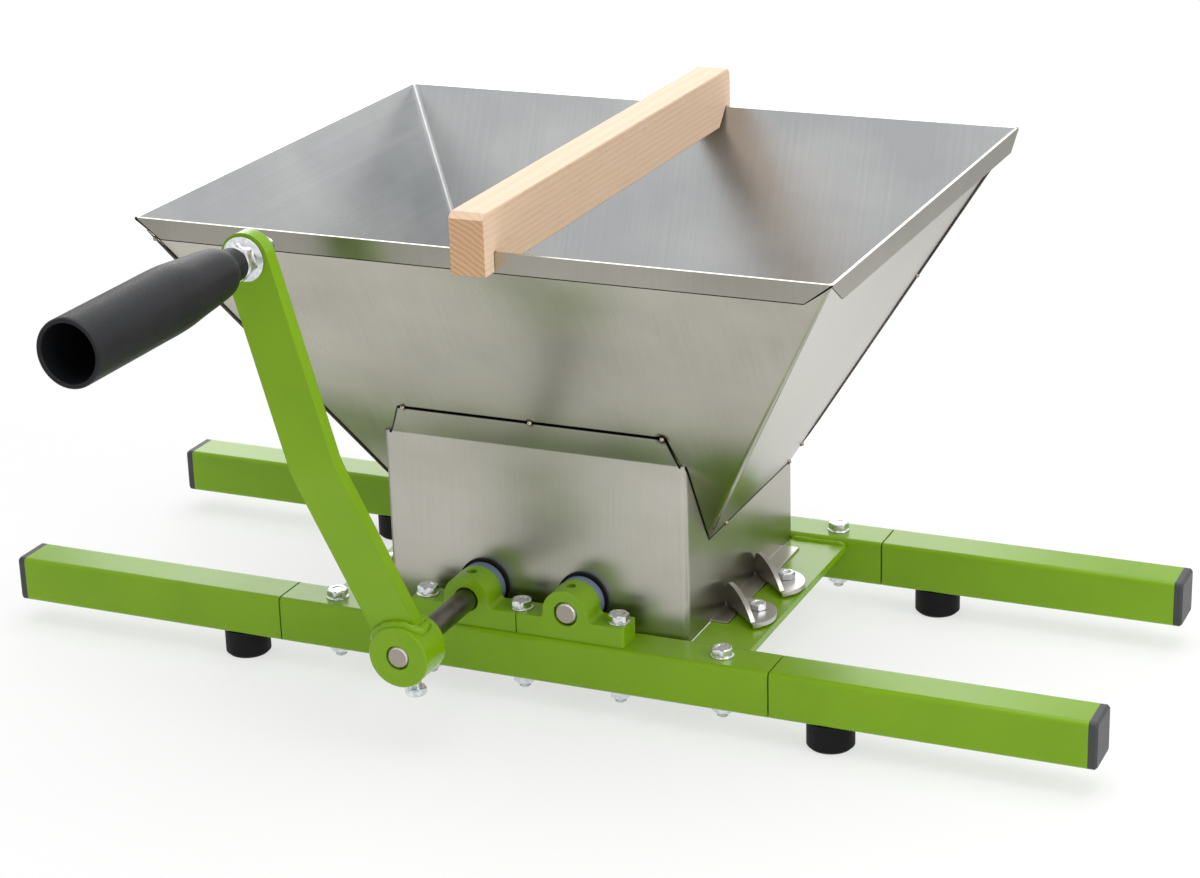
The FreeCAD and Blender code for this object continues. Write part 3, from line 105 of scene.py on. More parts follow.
@dataclass
class Graph:
    """A node tree, and the ways to add to it."""

    tree: bpy.types.NodeTree
    shader: Node | None = None

    def node(self, kind: str, inputs: dict | None = None, stops: Sequence[tuple[float, str]] = (),
             **settings: object) -> Node:
        """Adds a shader node.

        Args:
            kind: The node's type name without "ShaderNode".
            inputs: Values for its sockets, by name or number; a socket as value is linked.
            stops: A colour ramp's places and sRGB hex colours.
            settings: The node's own properties.

        Returns:
            The new node.
        """
        made = self.tree.nodes.new("ShaderNode" + kind)
        for name, value in settings.items():
            setattr(made, name, value)
        elements = made.color_ramp.elements if stops else ()
        while len(elements) < len(stops):
            elements.new(0.5)
        for element, (place, colour) in zip(elements, stops):
            element.position, element.color = place, linear(colour)
        self.feed(made, inputs or {})
        return made

    def feed(self, node: Node, inputs: dict) -> None:
        """Fills a node's sockets.

        Args:
            node: The node.
            inputs: Values by name or number; a socket as value is linked.
        """
        for name, value in inputs.items():
            if isinstance(value, Socket):
                self.tree.links.new(value, node.inputs[name])
            else:
                node.inputs[name].default_value = value

    def wire(self, kind: str, inputs: dict | None = None, output: int | str = 0,
             **settings: object) -> Socket:
        """Adds a node as above, and hands on one of its outputs."""
        return self.node(kind, inputs, **settings).outputs[output]

    def shade(self, **values: object) -> None:
        """Fills the shader's sockets; underscores in a name stand for spaces."""
        self.feed(self.shader, {name.replace("_", " "): value for name, value in values.items()})

    def facing(self) -> Socket:
        """How far a face looks along Y, from 0 to 1."""
        along = self.wire("SeparateXYZ", {"Vector": self.wire("TexCoord", output="Normal")}, "Y")
        return self.wire("Math", {0: along}, operation="ABSOLUTE")

    def grain(self, millimetres: Place, detail: float = 2.0) -> Socket:
        """Soft noise of a real size.

        Args:
            millimetres: The length of its features along X, Y and Z.
            detail: How many finer layers it has.

        Returns:
            The noise, about 0.3 to 0.7.
        """
        scale = tuple(1 / (length * MM) for length in millimetres)
        place = self.wire("TexCoord", output="Object")
        scaled = self.wire("Mapping", {"Vector": place, "Scale": scale})
        return self.wire("TexNoise", {"Vector": scaled, "Scale": 1.0, "Detail": detail}, "Fac")

    def relief(self, height: Socket, depth_mm: float, edge_mm: float) -> Socket:
        """Turns a height into a normal, over edges that a light bevel softens.

        Args:
            height: The height, 0 to 1.
            depth_mm: The relief's real depth.
            edge_mm: How far the edges are softened.

        Returns:
            The normal.
        """
        soft = self.wire("Bevel", {"Radius": edge_mm * MM}, samples=4)
        return self.wire("Bump", {"Height": height, "Distance": depth_mm * MM, "Normal": soft})


def new_material(name: str) -> tuple[Material, Graph]:
    """An empty material.

    Args:
        name: The real finish's name.

    Returns:
        The material, and its nodes with the shader in place.
    """
    material = bpy.data.materials.new(name)
    material.use_nodes = True
    graph = Graph(material.node_tree)
    graph.tree.nodes.clear()
    graph.shader = graph.node("BsdfPrincipled")
    graph.node("OutputMaterial", {"Surface": graph.shader.outputs["BSDF"]})
    return material, graph


@dataclass(frozen=True)
class PowderCoat:
    """Polyester powder coat on steel: sprayed dry and baked, so thick, glossy and faintly rippled."""

    colour: str = "#84B00C"
    shade: str = "#7DA908"
    ripple_mm: float = 3.0
    drift_mm: float = 60.0

    def make(self) -> Material:
        """The paint. The eye gets a clear lime green with soft, slightly wavy highlights.

        Returns:
            The material.
        """
        material, graph = new_material("lime_powder_coat")
        ripple, drift = graph.grain((self.ripple_mm,) * 3, 0.0), graph.grain((self.drift_mm,) * 3)
        colour = graph.wire("ValToRGB", {0: drift}, stops=[(0.35, self.shade), (0.65, self.colour)])
        graph.shade(Base_Color=colour, Roughness=graph.wire("MapRange", spread(drift, 0.2, 0.27)),
                    IOR=1.5, Specular_IOR_Level=0.3,
                    Normal=graph.relief(ripple, 0.01, 0.7))
        return material


@dataclass(frozen=True)
class Tack:
    """A tack weld on the sheet: its place in metres, and the reach and colour of its heat tint."""

    spot: Place
    tint_mm: float
    burnt: str


@dataclass(frozen=True)
class StainlessSheet:
    """Cold rolled stainless sheet, 2B finish: rolled and pickled, then cut, bent and tacked."""

    name: str = "rolled_stainless"
    light: str = "#BDBAAF"
    dark: str = "#ADAAA0"
    grain_mm: Place = (1.2, 400.0, 60.0)
    roughness: tuple[float, float] = (0.22, 0.28)
    smear: float = 0.5
    seams: tuple[Seam, ...] = ()
    bend_mm: float = 0.25
    tacks: tuple[Tack, ...] = ()
    # The seam lines' colour: painted gap shadow, with some dirt.
    grime: str = "#2B2622"

    def make(self) -> Material:
        """The sheet. The eye gets a milky mirror, drawn out along the rolling, dark with painted shadow and
        some dirt at its seams.

        Returns:
            The material.
        """
        material, graph = new_material(self.name)
        clouds, streaks = graph.grain((70, 70, 45), 3.0), graph.grain(self.grain_mm)
        soft = graph.wire("Math", {0: clouds, 1: 0.8}, operation="MULTIPLY")
        both = graph.wire("Math", {0: streaks, 1: 0.2, 2: soft}, operation="MULTIPLY_ADD")
        colour = graph.wire("ValToRGB", {0: both}, stops=[(0.35, self.dark), (0.65, self.light)])
        colour = self.seamed(graph, self.tinted(graph, colour))
        graph.shade(Base_Color=colour, Metallic=1.0,
                    Roughness=graph.wire("MapRange", spread(both, *self.roughness)), Anisotropic=self.smear,
                    Normal=graph.relief(streaks, 0.0008, self.bend_mm))
        return material

    def tinted(self, graph: Graph, colour: Socket) -> Socket:
        """Lays the heat tint round each tack weld.

        Args:
            graph: The material's nodes.
            colour: The bare sheet's colour.

        Returns:
            The colour with the tints laid over it.
        """
        place = graph.wire("TexCoord", output="Object")
        for tack in self.tacks:
            away = graph.wire("VectorMath", {0: place, 1: tack.spot}, "Value", operation="DISTANCE")
            near = graph.wire("MapRange", {"Value": away, "From Max": tack.tint_mm * MM})
            tint = graph.wire("ValToRGB", {0: near}, stops=[(0.4, tack.burnt), (1.0, "#FFFFFF")])
            colour = graph.wire("Mix", {"Factor": 1.0, "A": colour, "B": tint}, **MULTIPLIED)
        return colour

    def seamed(self, graph: Graph, colour: Socket) -> Socket:
        """Paints dark lines on the cut edges and the crevices, where two sheets meet: painted gap shadow,
        with some dirt.

        Args:
            graph: The material's nodes.
            colour: The sheet's colour.

        Returns:
            The colour with a dark line of painted shadow and some dirt along each seam.
        """
        place, nearest = graph.wire("TexCoord", output="Object"), None
        for start, end, wide_mm in self.seams:
            way = Vector(end) - Vector(start)
            moved = graph.wire("VectorMath", {0: place, 1: start}, operation="SUBTRACT")
            share = graph.wire("VectorMath", {0: moved, 1: tuple(way / way.length_squared)}, "Value",
                               operation="DOT_PRODUCT")
            held = graph.wire("Clamp", {"Value": share})
            foot = graph.wire("VectorMath", {0: tuple(way), "Scale": held}, operation="SCALE")
            away = graph.wire("VectorMath", {0: moved, 1: foot}, "Value", operation="DISTANCE")
            away = graph.wire("Math", {0: away, 1: wide_mm * MM}, operation="DIVIDE")
            nearest = away if nearest is None else graph.wire("Math", {0: nearest, 1: away},
                                                              operation="MINIMUM")
        if nearest is None:
            return colour
        # Dark lines of painted shadow, with some dirt, along the seams and cut edges.
        line = graph.wire("MapRange", {"Value": nearest, "From Min": 0.6})
        dark = graph.wire("ValToRGB", {0: line}, stops=[(0.0, self.grime), (1.0, "#FFFFFF")])
        return graph.wire("Mix", {"Factor": 1.0, "A": colour, "B": dark}, **MULTIPLIED)


@dataclass(frozen=True)
class ZincPlate:
    """Bright zinc plating on cold formed bolts: clear passivated, with a faint blue cast."""

    light: str = "#E6E8EA"
    dark: str = "#C6CACE"
    blotch_mm: float = 2.5

    def make(self) -> Material:
        """The plating. The eye gets a bright, slightly uneven silver.

        Returns:
            The material.
        """
        material, graph = new_material("bright_zinc_plate")
        blotch = graph.grain((self.blotch_mm,) * 3)
        colour = graph.wire("ValToRGB", {0: blotch}, stops=[(0.3, self.dark), (0.65, self.light)])
        graph.shade(Base_Color=colour, Metallic=1.0,
                    Roughness=graph.wire("MapRange", spread(blotch, 0.16, 0.26)),
                    Normal=graph.relief(blotch, 0.01, 0.2))
        return material


@dataclass(frozen=True)
class BareSteel:
    """Bright drawn steel bar, oiled: darkened along its length, with freshly turned end faces."""

    name: str = "oiled_drawn_steel"
    side: str = "#85827C"
    stained: str = "#565351"
    # A painted highlight: the bright reflection on the end chamfer.
    chamfer: str = "#DAD6D0"
    end: str = "#A39A92"

    def make(self) -> Material:
        """The steel. The eye gets a dark satin bar with draw marks, lighter, warmer ends, and a painted
        highlight on the chamfer round each end.

        Returns:
            The material.
        """
        material, graph = new_material(self.name)
        marks, stain = graph.grain((0.5, 40.0, 0.5)), graph.grain((8, 20, 8), 3.0)
        side = graph.wire("ValToRGB", {0: stain}, stops=[(0.3, self.stained), (0.7, self.side)])
        outward = graph.facing()
        # The chamfer ring gets a painted highlight; the flat end gets its turned colour.
        end = graph.wire("ValToRGB", {0: outward}, stops=[
            (0.0, "#FFFFFF"), (0.5, "#FFFFFF"), (0.6, self.chamfer), (0.85, self.chamfer), (0.95, self.end)])
        is_end = graph.wire("Math", {0: outward, 1: 0.55}, operation="GREATER_THAN")
        colour = graph.wire("Mix", {"Factor": is_end, "A": side, "B": end}, **MIXED)
        graph.shade(Base_Color=colour, Metallic=1.0,
                    Roughness=graph.wire("MapRange", spread(marks, 0.28, 0.42)),
                    Normal=graph.relief(marks, 0.01, 0.25))
        return material


@dataclass(frozen=True)
class Moulding:
    """A moulded plastic or rubber with the fine texture of its mould."""

    name: str
    light: str
    dark: str
    texture_mm: float
    depth_mm: float
    roughness: tuple[float, float]
    edge_mm: float = 0.5
    gloss: float = 0.5
    drift_mm: float = 25.0

    def make(self) -> Material:
        """The moulding, with a skin as fine as the render can show.

        Returns:
            The material.
        """
        material, graph = new_material(self.name)
        skin, drift = graph.grain((self.texture_mm,) * 3), graph.grain((self.drift_mm,) * 3)
        colour = graph.wire("ValToRGB", {0: drift}, stops=[(0.35, self.dark), (0.65, self.light)])
        graph.shade(Base_Color=colour, Roughness=graph.wire("MapRange", spread(skin, *self.roughness)),
                    IOR=1.5, Specular_IOR_Level=self.gloss,
                    Normal=graph.relief(skin, self.depth_mm, self.edge_mm))
        return material


@dataclass(frozen=True)
class Beech:
    """Planed beech, bare: pale, with short dark flecks along the fibres and rings on its ends."""

    early: str = "#F3D5B8"
    late: str = "#EDCDAE"
    pore: str = "#E2CBA8"
    fleck: str = "#DDBB95"
    sawn: tuple[str, str] = ("#EBDAC6", "#DCC5A9")
    ring_mm: float = 2.6
    wander_mm: float = 4.0
    heart_mm: tuple[float, float] = (-40.0, -75.0)

    def make(self) -> Material:
        """The wood. One solid pattern gives streaks along the bar and arcs of rings on its ends.

        Returns:
            The material.
        """
        material, graph = new_material("planed_beech")
        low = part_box("wooden_bar")[0]
        heart = (low.x + self.heart_mm[0] * MM, 0.0, low.z + self.heart_mm[1] * MM)
        place = graph.wire("TexCoord", output="Object")
        moved = graph.wire("VectorMath", {0: place, 1: heart}, operation="SUBTRACT")
        flat = graph.wire("VectorMath", {0: moved, 1: (1.0, 0.02, 1.0)}, operation="MULTIPLY")
        far = graph.wire("VectorMath", {0: flat}, "Value", operation="LENGTH")
        warped = graph.wire("Math", {0: graph.grain((14, 160, 14)), 1: self.wander_mm * MM, 2: far},
                            operation="MULTIPLY_ADD")
        cycles = graph.wire("Math", {0: warped, 1: 2 * math.pi / (self.ring_mm * MM)}, operation="MULTIPLY")
        wave = graph.wire("Math", {0: cycles}, operation="SINE")
        rings = graph.wire("MapRange", {"Value": wave, "From Min": -1.0})
        fibres = graph.grain((0.7, 30.0, 0.7), 3.0)
        wood = graph.wire("ValToRGB", {0: rings}, stops=[(0.2, self.early), (1.0, self.late)])
        pores = graph.wire("ValToRGB", {0: fibres}, stops=[(0.3, self.pore), (0.55, "#FFFFFF")])
        wood = graph.wire("Mix", {"Factor": 0.2, "A": wood, "B": pores}, **MULTIPLIED)
        flecks = graph.wire("MapRange", {"Value": graph.grain((0.9, 7.0, 0.9), 0.0), "From Min": 0.66,
                                         "From Max": 0.74, "To Max": 0.35})
        wood = graph.wire("Mix", {"Factor": flecks, "A": wood, "B": linear(self.fleck)}, **MIXED)
        end = graph.wire("ValToRGB", {0: rings}, stops=[(0.1, self.sawn[0]), (1.0, self.sawn[1])])
        end = graph.wire("Mix", {"Factor": 0.9, "A": wood, "B": end}, **MULTIPLIED)
        is_end = graph.wire("Math", {0: graph.facing(), 1: 0.9}, operation="GREATER_THAN")
        colour = graph.wire("Mix", {"Factor": is_end, "A": wood, "B": end}, **MIXED)
        graph.shade(Base_Color=colour, Roughness=graph.wire("MapRange", spread(fibres, 0.5, 0.62)),
                    IOR=1.5, Normal=graph.relief(fibres, 0.03, 0.6))
        return material


@dataclass
class Mesher:
    """Collects rings and beads into one mesh, in metres, in the machine's frame."""

    points: list[Vector] = field(default_factory=list)
    faces: list[tuple[int, ...]] = field(default_factory=list)

    def turned(self, rings: Iterable[Ring], place: Matrix, segments: int = 48, closed: bool = True) -> None:
        """Adds a turned or hexagonal solid.

        Args:
            rings: Height, radius and across flats of each ring, in millimetres; 0 flats is round.
            place: Puts the solid, built along Z, in the machine.
            segments: Points on each ring.
            closed: Whether the ends are filled.
        """
        rings = list(rings)
        start = len(self.points)
        for height, radius, flats in rings:
            for i in range(segments):
                angle = 2 * math.pi * i / segments
                reach = radius
                if flats:
                    bend = (angle + math.pi / 6) % (math.pi / 3) - math.pi / 6
                    reach = min(radius, flats / 2 / math.cos(bend))
                spot = Vector((reach * math.cos(angle), reach * math.sin(angle), height))
                self.points.append(place @ (spot * MM))
        for ring in range(len(rings) - 1):
            low, high = start + ring * segments, start + (ring + 1) * segments
            for i in range(segments):
                j = (i + 1) % segments
                self.faces.append((low + i, low + j, high + j, high + i))
        if closed:
            self.faces.append(tuple(range(start + segments - 1, start - 1, -1)))
            last = start + (len(rings) - 1) * segments
            self.faces.append(tuple(range(last, last + segments)))

    def bead(self, path: Sequence[Vector], radius_mm: float, ripple: float = 0.1, seed: float = 0.0,
             closed: bool = False) -> None:
        """Adds a weld bead along a path.

        Args:
            path: Points along the joint, in metres.
            radius_mm: The bead's radius.
            ripple: How uneven the bead is, as a share of its radius.
            seed: Shifts the unevenness.
            closed: Whether the bead joins its own start.
        """
        sides, count, start = 14, len(path), len(self.points)
        for i, point in enumerate(path):
            before = path[i - 1] if i or closed else path[0]
            after = path[(i + 1) % count] if i < count - 1 or closed else path[-1]
            along = (after - before).normalized()
            side = along.orthogonal() if abs(along.z) > 0.9 else along.cross(Vector((0, 0, 1)))
            side.normalize()
            up = side.cross(along)
            taper = 1.0 if closed else min(1.0, 0.25 + min(i, count - 1 - i) / 2)
            for k in range(sides):
                angle = 2 * math.pi * k / sides
                rough = 1 + ripple * noise.noise(Vector((i * 0.55 + seed, k * 0.35, seed)))
                reach = radius_mm * MM * taper * rough
                self.points.append(point + (side * math.cos(angle) + up * math.sin(angle)) * reach)
        for i in range(count if closed else count - 1):
            low, high = start + i * sides, start + ((i + 1) % count) * sides
            for k in range(sides):
                n = (k + 1) % sides
                self.faces.append((low + k, high + k, high + n, low + n))
        if not closed:
            self.faces.append(tuple(range(start, start + sides)))
            self.faces.append(tuple(range(start + count * sides - 1, start + (count - 1) * sides - 1, -1)))

    def piece(self, name: str, material: Material, body: Body, sharp: float = 32.0,
              replaces: Sequence[str] = ()) -> bpy.types.Object:
        """Makes the object.

        Args:
            name: The piece's name.
            material: Its finish.
            body: The body that it rides on.
            sharp: Edges over this many degrees stay sharp.
            replaces: The CAD nodes that it stands for.

        Returns:
            The new object.
        """
        mesh = bpy.data.meshes.new(name)
        mesh.from_pydata([tuple(p) for p in self.points], [], self.faces)
        mesh.validate()
        mesh.shade_smooth()
        mesh.set_sharp_from_angle(angle=math.radians(sharp))
        mesh.materials.append(material)
        made = bpy.data.objects.new(name, mesh)
        bpy.context.scene.collection.objects.link(made)
        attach(made, body.value)
        if replaces:
            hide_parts(*replaces)
        LOG.info("built %s on %s", name, body.value)
        return made


def dress(nodes: Iterable[str], material: Material) -> None:
    """Gives CAD nodes a finish.

    Args:
        nodes: Their names.
        material: The finish.
    """
    for name in nodes:
        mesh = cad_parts[name].data
        mesh.materials.clear()
        mesh.materials.append(material)
        LOG.info("dressed %s in %s", name, material.name)


def centre(node: str) -> Vector:
    """The middle of a CAD node's box."""
    low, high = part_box(node)
    return (low + high) / 2


def islands(node: str) -> list[tuple[Vector, Vector]]:
    """The boxes of the separate solids in a CAD node, found by the vertices that faces join.

    Args:
        node: The node's name.

    Returns:
        The lowest and highest corner of each solid, sorted by place.
    """
    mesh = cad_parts[node].data
    leader = list(range(len(mesh.vertices)))
    welded: dict[tuple[float, ...], int] = {}

    def find(i: int) -> int:
        """The leading vertex of the solid that a vertex is in."""
        while leader[i] != i:
            leader[i] = leader[leader[i]]
            i = leader[i]
        return i

    for vertex in mesh.vertices:
        same = welded.setdefault(tuple(round(c, 6) for c in vertex.co), vertex.index)
        leader[find(vertex.index)] = find(same)
    for polygon in mesh.polygons:
        first = find(polygon.vertices[0])
        for other in polygon.vertices[1:]:
            leader[find(other)] = first
    solids: dict[int, list[Vector]] = {}
    for vertex in mesh.vertices:
        solids.setdefault(find(vertex.index), []).append(vertex.co)
    boxes = [(Vector(map(min, zip(*solid))), Vector(map(max, zip(*solid)))) for solid in solids.values()]
    return sorted(boxes, key=lambda b: tuple(round(c, 4) for c in b[0]))


@dataclass(frozen=True)
class Hexagon:
    """A hexagon bolt and its nut, in millimetres, the thread by its radius."""

    flats: float
    head: float
    thread: float
    pitch: float
    nut: float = 0.0
    flange: float = 0.0

    def corner(self) -> float:
        """The radius of the hexagon's corners."""
        return self.flats / math.sqrt(3)


@dataclass
class Fasteners:
    """Hexagon bolts and nuts: chamfered heads, pressed dimples, washer faces and cut threads."""

    zinc: Material
    frame_bolt: Hexagon = Hexagon(flats=10.0, head=4.8, thread=3.0, pitch=1.0, nut=5.5, flange=6.1)
    clip_bolt: Hexagon = Hexagon(flats=8.0, head=3.6, thread=2.5, pitch=0.8, nut=4.2)
    turns: tuple[float, ...] = (8.0, 41.0, 23.0, 52.0, 3.0, 30.0, 47.0)

    def head(self, mesh: Mesher, place: Matrix, bolt: Hexagon) -> None:
        """Adds a bolt's head that stands on z 0.

        Args:
            mesh: Collects the solid.
            place: Puts it in the machine.
            bolt: The bolt's sizes.
        """
        flats, height, flange, corner = bolt.flats, bolt.head, bolt.flange, bolt.corner()
        rings = [(0.0, flats * 0.3, 0.0)]
        if flange:
            rings += [(0.0, flange - 0.2, 0.0), (0.15, flange, 0.0), (0.6, flange, 0.0),
                      (0.8, flange - 0.2, 0.0), (1.15, flats * 0.53, 0.0), (1.2, corner - 0.1, flats)]
        else:
            rings += [(0.0, flats * 0.47, 0.0), (0.3, flats * 0.48, 0.0), (0.3, corner - 0.3, flats),
                      (0.5, corner, flats)]
        rings += [(height - flats * 0.1, corner - 0.1, flats), (height - flats * 0.05, corner * 0.95, flats),
                  (height, flats * 0.46, 0.0), (height, flats * 0.33, 0.0),
                  (height - 0.5, flats * 0.26, 0.0), (height - 0.6, flats * 0.1, 0.0)]
        mesh.turned(rings, place)

    def nut(self, mesh: Mesher, place: Matrix, bolt: Hexagon) -> None:
        """Adds a nut between z 0 and its height, chamfered on both sides.

        Args:
            mesh: Collects the solid.
            place: Puts it in the machine.
            bolt: The sizes of its bolt.
        """
        flats, height, hole, corner = bolt.flats, bolt.nut, bolt.thread, bolt.corner()
        face, slope = flats * 0.47, flats * 0.08
        mesh.turned([(0.6, hole, 0.0), (0.0, hole + 0.6, 0.0), (0.0, face, 0.0),
                     (slope * 0.5, corner * 0.95, flats), (slope, corner, flats),
                     (height - slope, corner, flats), (height - slope * 0.5, corner * 0.95, flats),
                     (height, face, 0.0), (height, hole + 0.6, 0.0), (height - 0.6, hole, 0.0)],
                    place, closed=False)

    def stud(self, mesh: Mesher, place: Matrix, bolt: Hexagon, low: float, high: float) -> None:
        """Adds a thread between two heights, as closed grooves of its real pitch.

        Args:
            mesh: Collects the solid.
            place: Puts it in the machine.
            bolt: The bolt's sizes.
            low: The free end.
            high: Where the thread meets the nut or the head.
        """
        radius, pitch, height = bolt.thread, bolt.pitch, low + 0.25 * bolt.thread
        rings = [(low, radius * 0.72, 0.0), (height, radius - 0.1, 0.0)]
        while height + pitch < high:
            rings += [(height + 0.12 * pitch, radius, 0.0),
                      (height + 0.5 * pitch, radius - 0.55 * pitch, 0.0),
                      (height + 0.88 * pitch, radius, 0.0)]
            height += pitch
        rings.append((high, radius, 0.0))
        mesh.turned(rings, place, 32)

    def through(self, name: str, bolt: Hexagon) -> None:
        """Replaces a node of upright bolts and a node of nuts.

        Args:
            name: What both nodes' names begin with.
            bolt: The bolts' sizes.
        """
        heads, ends = Mesher(), Mesher()
        for i, (low, high) in enumerate(islands(name + "_bolts")):
            middle = (low + high) / 2
            turn = Matrix.Rotation(math.radians(self.turns[i % len(self.turns)]), 4, "Z")
            seat = Matrix.Translation((middle.x, middle.y, high.z - bolt.head * MM)) @ turn
            self.head(heads, seat, bolt)
            foot = Matrix.Translation((middle.x, middle.y, 0.0))
            self.stud(heads, foot, bolt, low.z / MM, high.z / MM - bolt.head + 0.2)
        for i, (low, high) in enumerate(islands(name + "_nuts")):
            middle = (low + high) / 2
            turn = Matrix.Rotation(math.radians(self.turns[-1 - i % len(self.turns)]), 4, "Z")
            self.nut(ends, Matrix.Translation((middle.x, middle.y, low.z)) @ turn, bolt)
        self.replace(heads, name + "_bolts", Body.FRAME)
        self.replace(ends, name + "_nuts", Body.FRAME)

    def replace(self, mesh: Mesher, node: str, body: Body) -> None:
        """Puts a mesh of bolts or nuts in the place of a CAD node."""
        mesh.piece(node + "_detailed", self.zinc, body, 25, [node])

    def build(self) -> None:
        """Builds the bolts and nuts of the frame, the blocks and the clips."""
        self.through("arm", self.frame_bolt)
        self.through("block", self.frame_bolt)
        self.through("clip", self.clip_bolt)
        dress(["foot_screws"], self.zinc)


@dataclass
class TubeFrame:
    """Two rails, four plug-in arms with caps and feet, and two welded cross plates."""

    paint: Material
    plastic: Material
    rubber: Material
    weld_radius: float = 1.7

    def build(self) -> None:
        """Dresses the tubes and welds the cross plates on."""
        dress(["front_rail", "rear_rail", "left_cross_plate", "right_cross_plate"], self.paint)
        dress(Corner.nodes("arm"), self.paint)
        dress(Corner.nodes("end_cap"), self.plastic)
        dress(Corner.nodes("foot"), self.rubber)
        self.plate_welds()

    def plate_welds(self) -> None:
        """Adds a painted bead where each cross plate meets a rail."""
        mesh = Mesher()
        for seed, node in enumerate(("left_cross_plate", "right_cross_plate")):
            low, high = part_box(node)
            for y, inward in ((low.y, 1), (high.y, -1)):
                path = [Vector((low.x + (high.x - low.x) * i / 20, y + inward * 0.6 * MM, high.z))
                        for i in range(21)]
                mesh.bead(path, self.weld_radius, 0.35, seed * 7.0 + y * 40)
        mesh.piece("cross_plate_welds", self.paint, Body.FRAME, 60)


@dataclass
class Bearings:
    """Cast blocks on the rails, with bushes and the seal rings behind them."""

    paint: Material
    bush: Material
    rubber: Material

    def build(self) -> None:
        """Dresses the blocks, bushes and seals."""
        dress(Corner.nodes("block"), self.paint)
        dress(Corner.nodes("bush"), self.bush)
        dress(["shaft_seals"], self.rubber)


@dataclass
class Hopper:
    """The funnel and the chute, in bent stainless sheet, tacked together at points."""

    clips: Material
    flange_mm: float = 10.0
    rail_gap_mm: float = 0.5
    throat_mm: float = 30.0
    tab_mm: float = 17.8
    tab_foot_mm: float = 3.0
    tab_ends_mm: tuple[float, float] = (13.0, 6.5)
    tab_tacks_mm: tuple[float, float] = (16.0, 8.0)
    hem_mm: float = 10.5
    hem_mitre_mm: float = 14.0
    lap_mm: float = 1.6
    tack_mm: float = 1.35
    side_tacks: tuple[float, ...] = (0.2, 0.98)
    corner_tacks: tuple[float, ...] = (0.05, 0.56, 0.93)
    tab_tints: tuple[tuple[float, str], ...] = ((2.6, "#9A9186"), (3.0, "#7A5230"), (4.5, "#453A32"))
    # Half widths of the dark lines along the seams: painted gap shadow, with some dirt.
    tab_line: float = 0.95
    fold_line: float = 0.8
    side_line: float = 0.9
    edge_line: float = 0.6
    mitre_line: float = 0.5

    def planes(self) -> dict[str, float]:
        """The planes that the seams lie on, in metres, by name.

        Returns:
            The chute's left, right, front, back and lower end, where the funnel's front wall meets it, the
            seam's height, and the fold, the top and the tip of its tab.
        """
        front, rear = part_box("front_chute_sheet"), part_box("rear_chute_sheet")
        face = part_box("front_rail")[1].y + self.rail_gap_mm * MM
        return {"left": rear[0].x + self.flange_mm * MM, "right": front[1].x - self.flange_mm * MM,
                "front": face, "throat": face + self.throat_mm * MM, "back": rear[1].y, "low": front[0].z,
                "seam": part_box("rear_hopper_sheet")[0].z, "fold": front[1].z - self.tab_mm * MM,
                "top": front[1].z, "tip": front[0].y}

    def sides(self) -> list[Line]:
        """The level seams between the funnel and the chute's two sides: left, then right."""
        at = self.planes()
        return [((at[side], at["throat"], at["seam"]), (at[side], at["back"], at["seam"]))
                for side in ("left", "right")]

    def corners(self) -> list[Line]:
        """The funnel's open corners from the seam to the rim: front left, then rear right."""
        at, front, rear = self.planes(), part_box("front_hopper_sheet"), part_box("rear_hopper_sheet")
        return [((at["left"], at["throat"], at["seam"]), (rear[0].x, front[0].y, front[1].z)),
                ((at["right"], at["back"], at["seam"]), (front[1].x, rear[1].y, front[1].z))]

    def seams(self) -> tuple[Seam, ...]:
        """The lines where two sheets meet or a sheet ends: the tab, the throat, the corners and the hem,
        each painted as a dark line of shadow with some dirt.

        Returns:
            The two ends of each line in metres, and half its width in millimetres.
        """
        at = self.planes()
        left, right, front, back = at["left"], at["right"], at["front"], at["back"]
        seam, fold = at["seam"], at["fold"]
        tip, top = at["tip"] + 0.6 * MM, at["top"] - 0.1 * MM
        tab = [(left + self.tab_foot_mm * MM, front, fold), (left + self.tab_ends_mm[0] * MM, tip, top),
               (right - self.tab_ends_mm[1] * MM, tip, top), (right - self.tab_foot_mm * MM, front, fold)]
        lines = [(*ends, self.tab_line) for ends in zip(tab, tab[1:])]
        for x, side in zip((left, right), self.sides()):
            lines += [((x, front + 1 * MM, fold), side[0], self.fold_line), (*side, self.side_line)]
        lines += [((right, back, at["low"]), (right, back, seam), self.edge_line),
                  ((left, back, seam), (right, back, seam), self.fold_line)]
        lines += [(*corner, self.lap_mm) for corner in self.corners()]
        (rim_left, rim_front, rim), (rim_right, rim_back, rim) = (
            corner[1] for corner in self.corners())
        hem, inset = rim - self.hem_mm * MM, self.hem_mitre_mm * MM
        for y in (rim_front, rim_back):
            low_left, low_right = (rim_left + inset, y, hem), (rim_right - inset, y, hem)
            lines += [(low_left, low_right, self.edge_line),
                      (low_left, (rim_left, y, rim), self.mitre_line),
                      (low_right, (rim_right, y, rim), self.mitre_line)]
        return tuple(lines)

    def row(self, line: Line, shares: Sequence[float], tint_mm: float, burnt: str) -> list[Tack]:
        """Tacks at the given shares of a line's length."""
        start, end = Vector(line[0]), Vector(line[1])
        return [Tack(tuple(start.lerp(end, share)), tint_mm, burnt) for share in shares]

    def tacks(self) -> tuple[Tack, ...]:
        """The tack welds along the tab's top edge, on the seams at the sides and up the open corners.

        Returns:
            The tacks, with the heat tint that each left.
        """
        at = self.planes()
        left, right = at["left"] + self.tab_tacks_mm[0] * MM, at["right"] - self.tab_tacks_mm[1] * MM
        made = [Tack((x, at["tip"], at["top"]), *tint)
                for x, tint in zip((left, (left + right) / 2, right), self.tab_tints)]
        for side in self.sides():
            made += self.row(side, self.side_tacks, 2.5, "#6B5E52")
        for corner in reversed(self.corners()):
            made += self.row(corner, self.corner_tacks, 2.0, "#8A8076")
        return tuple(made)

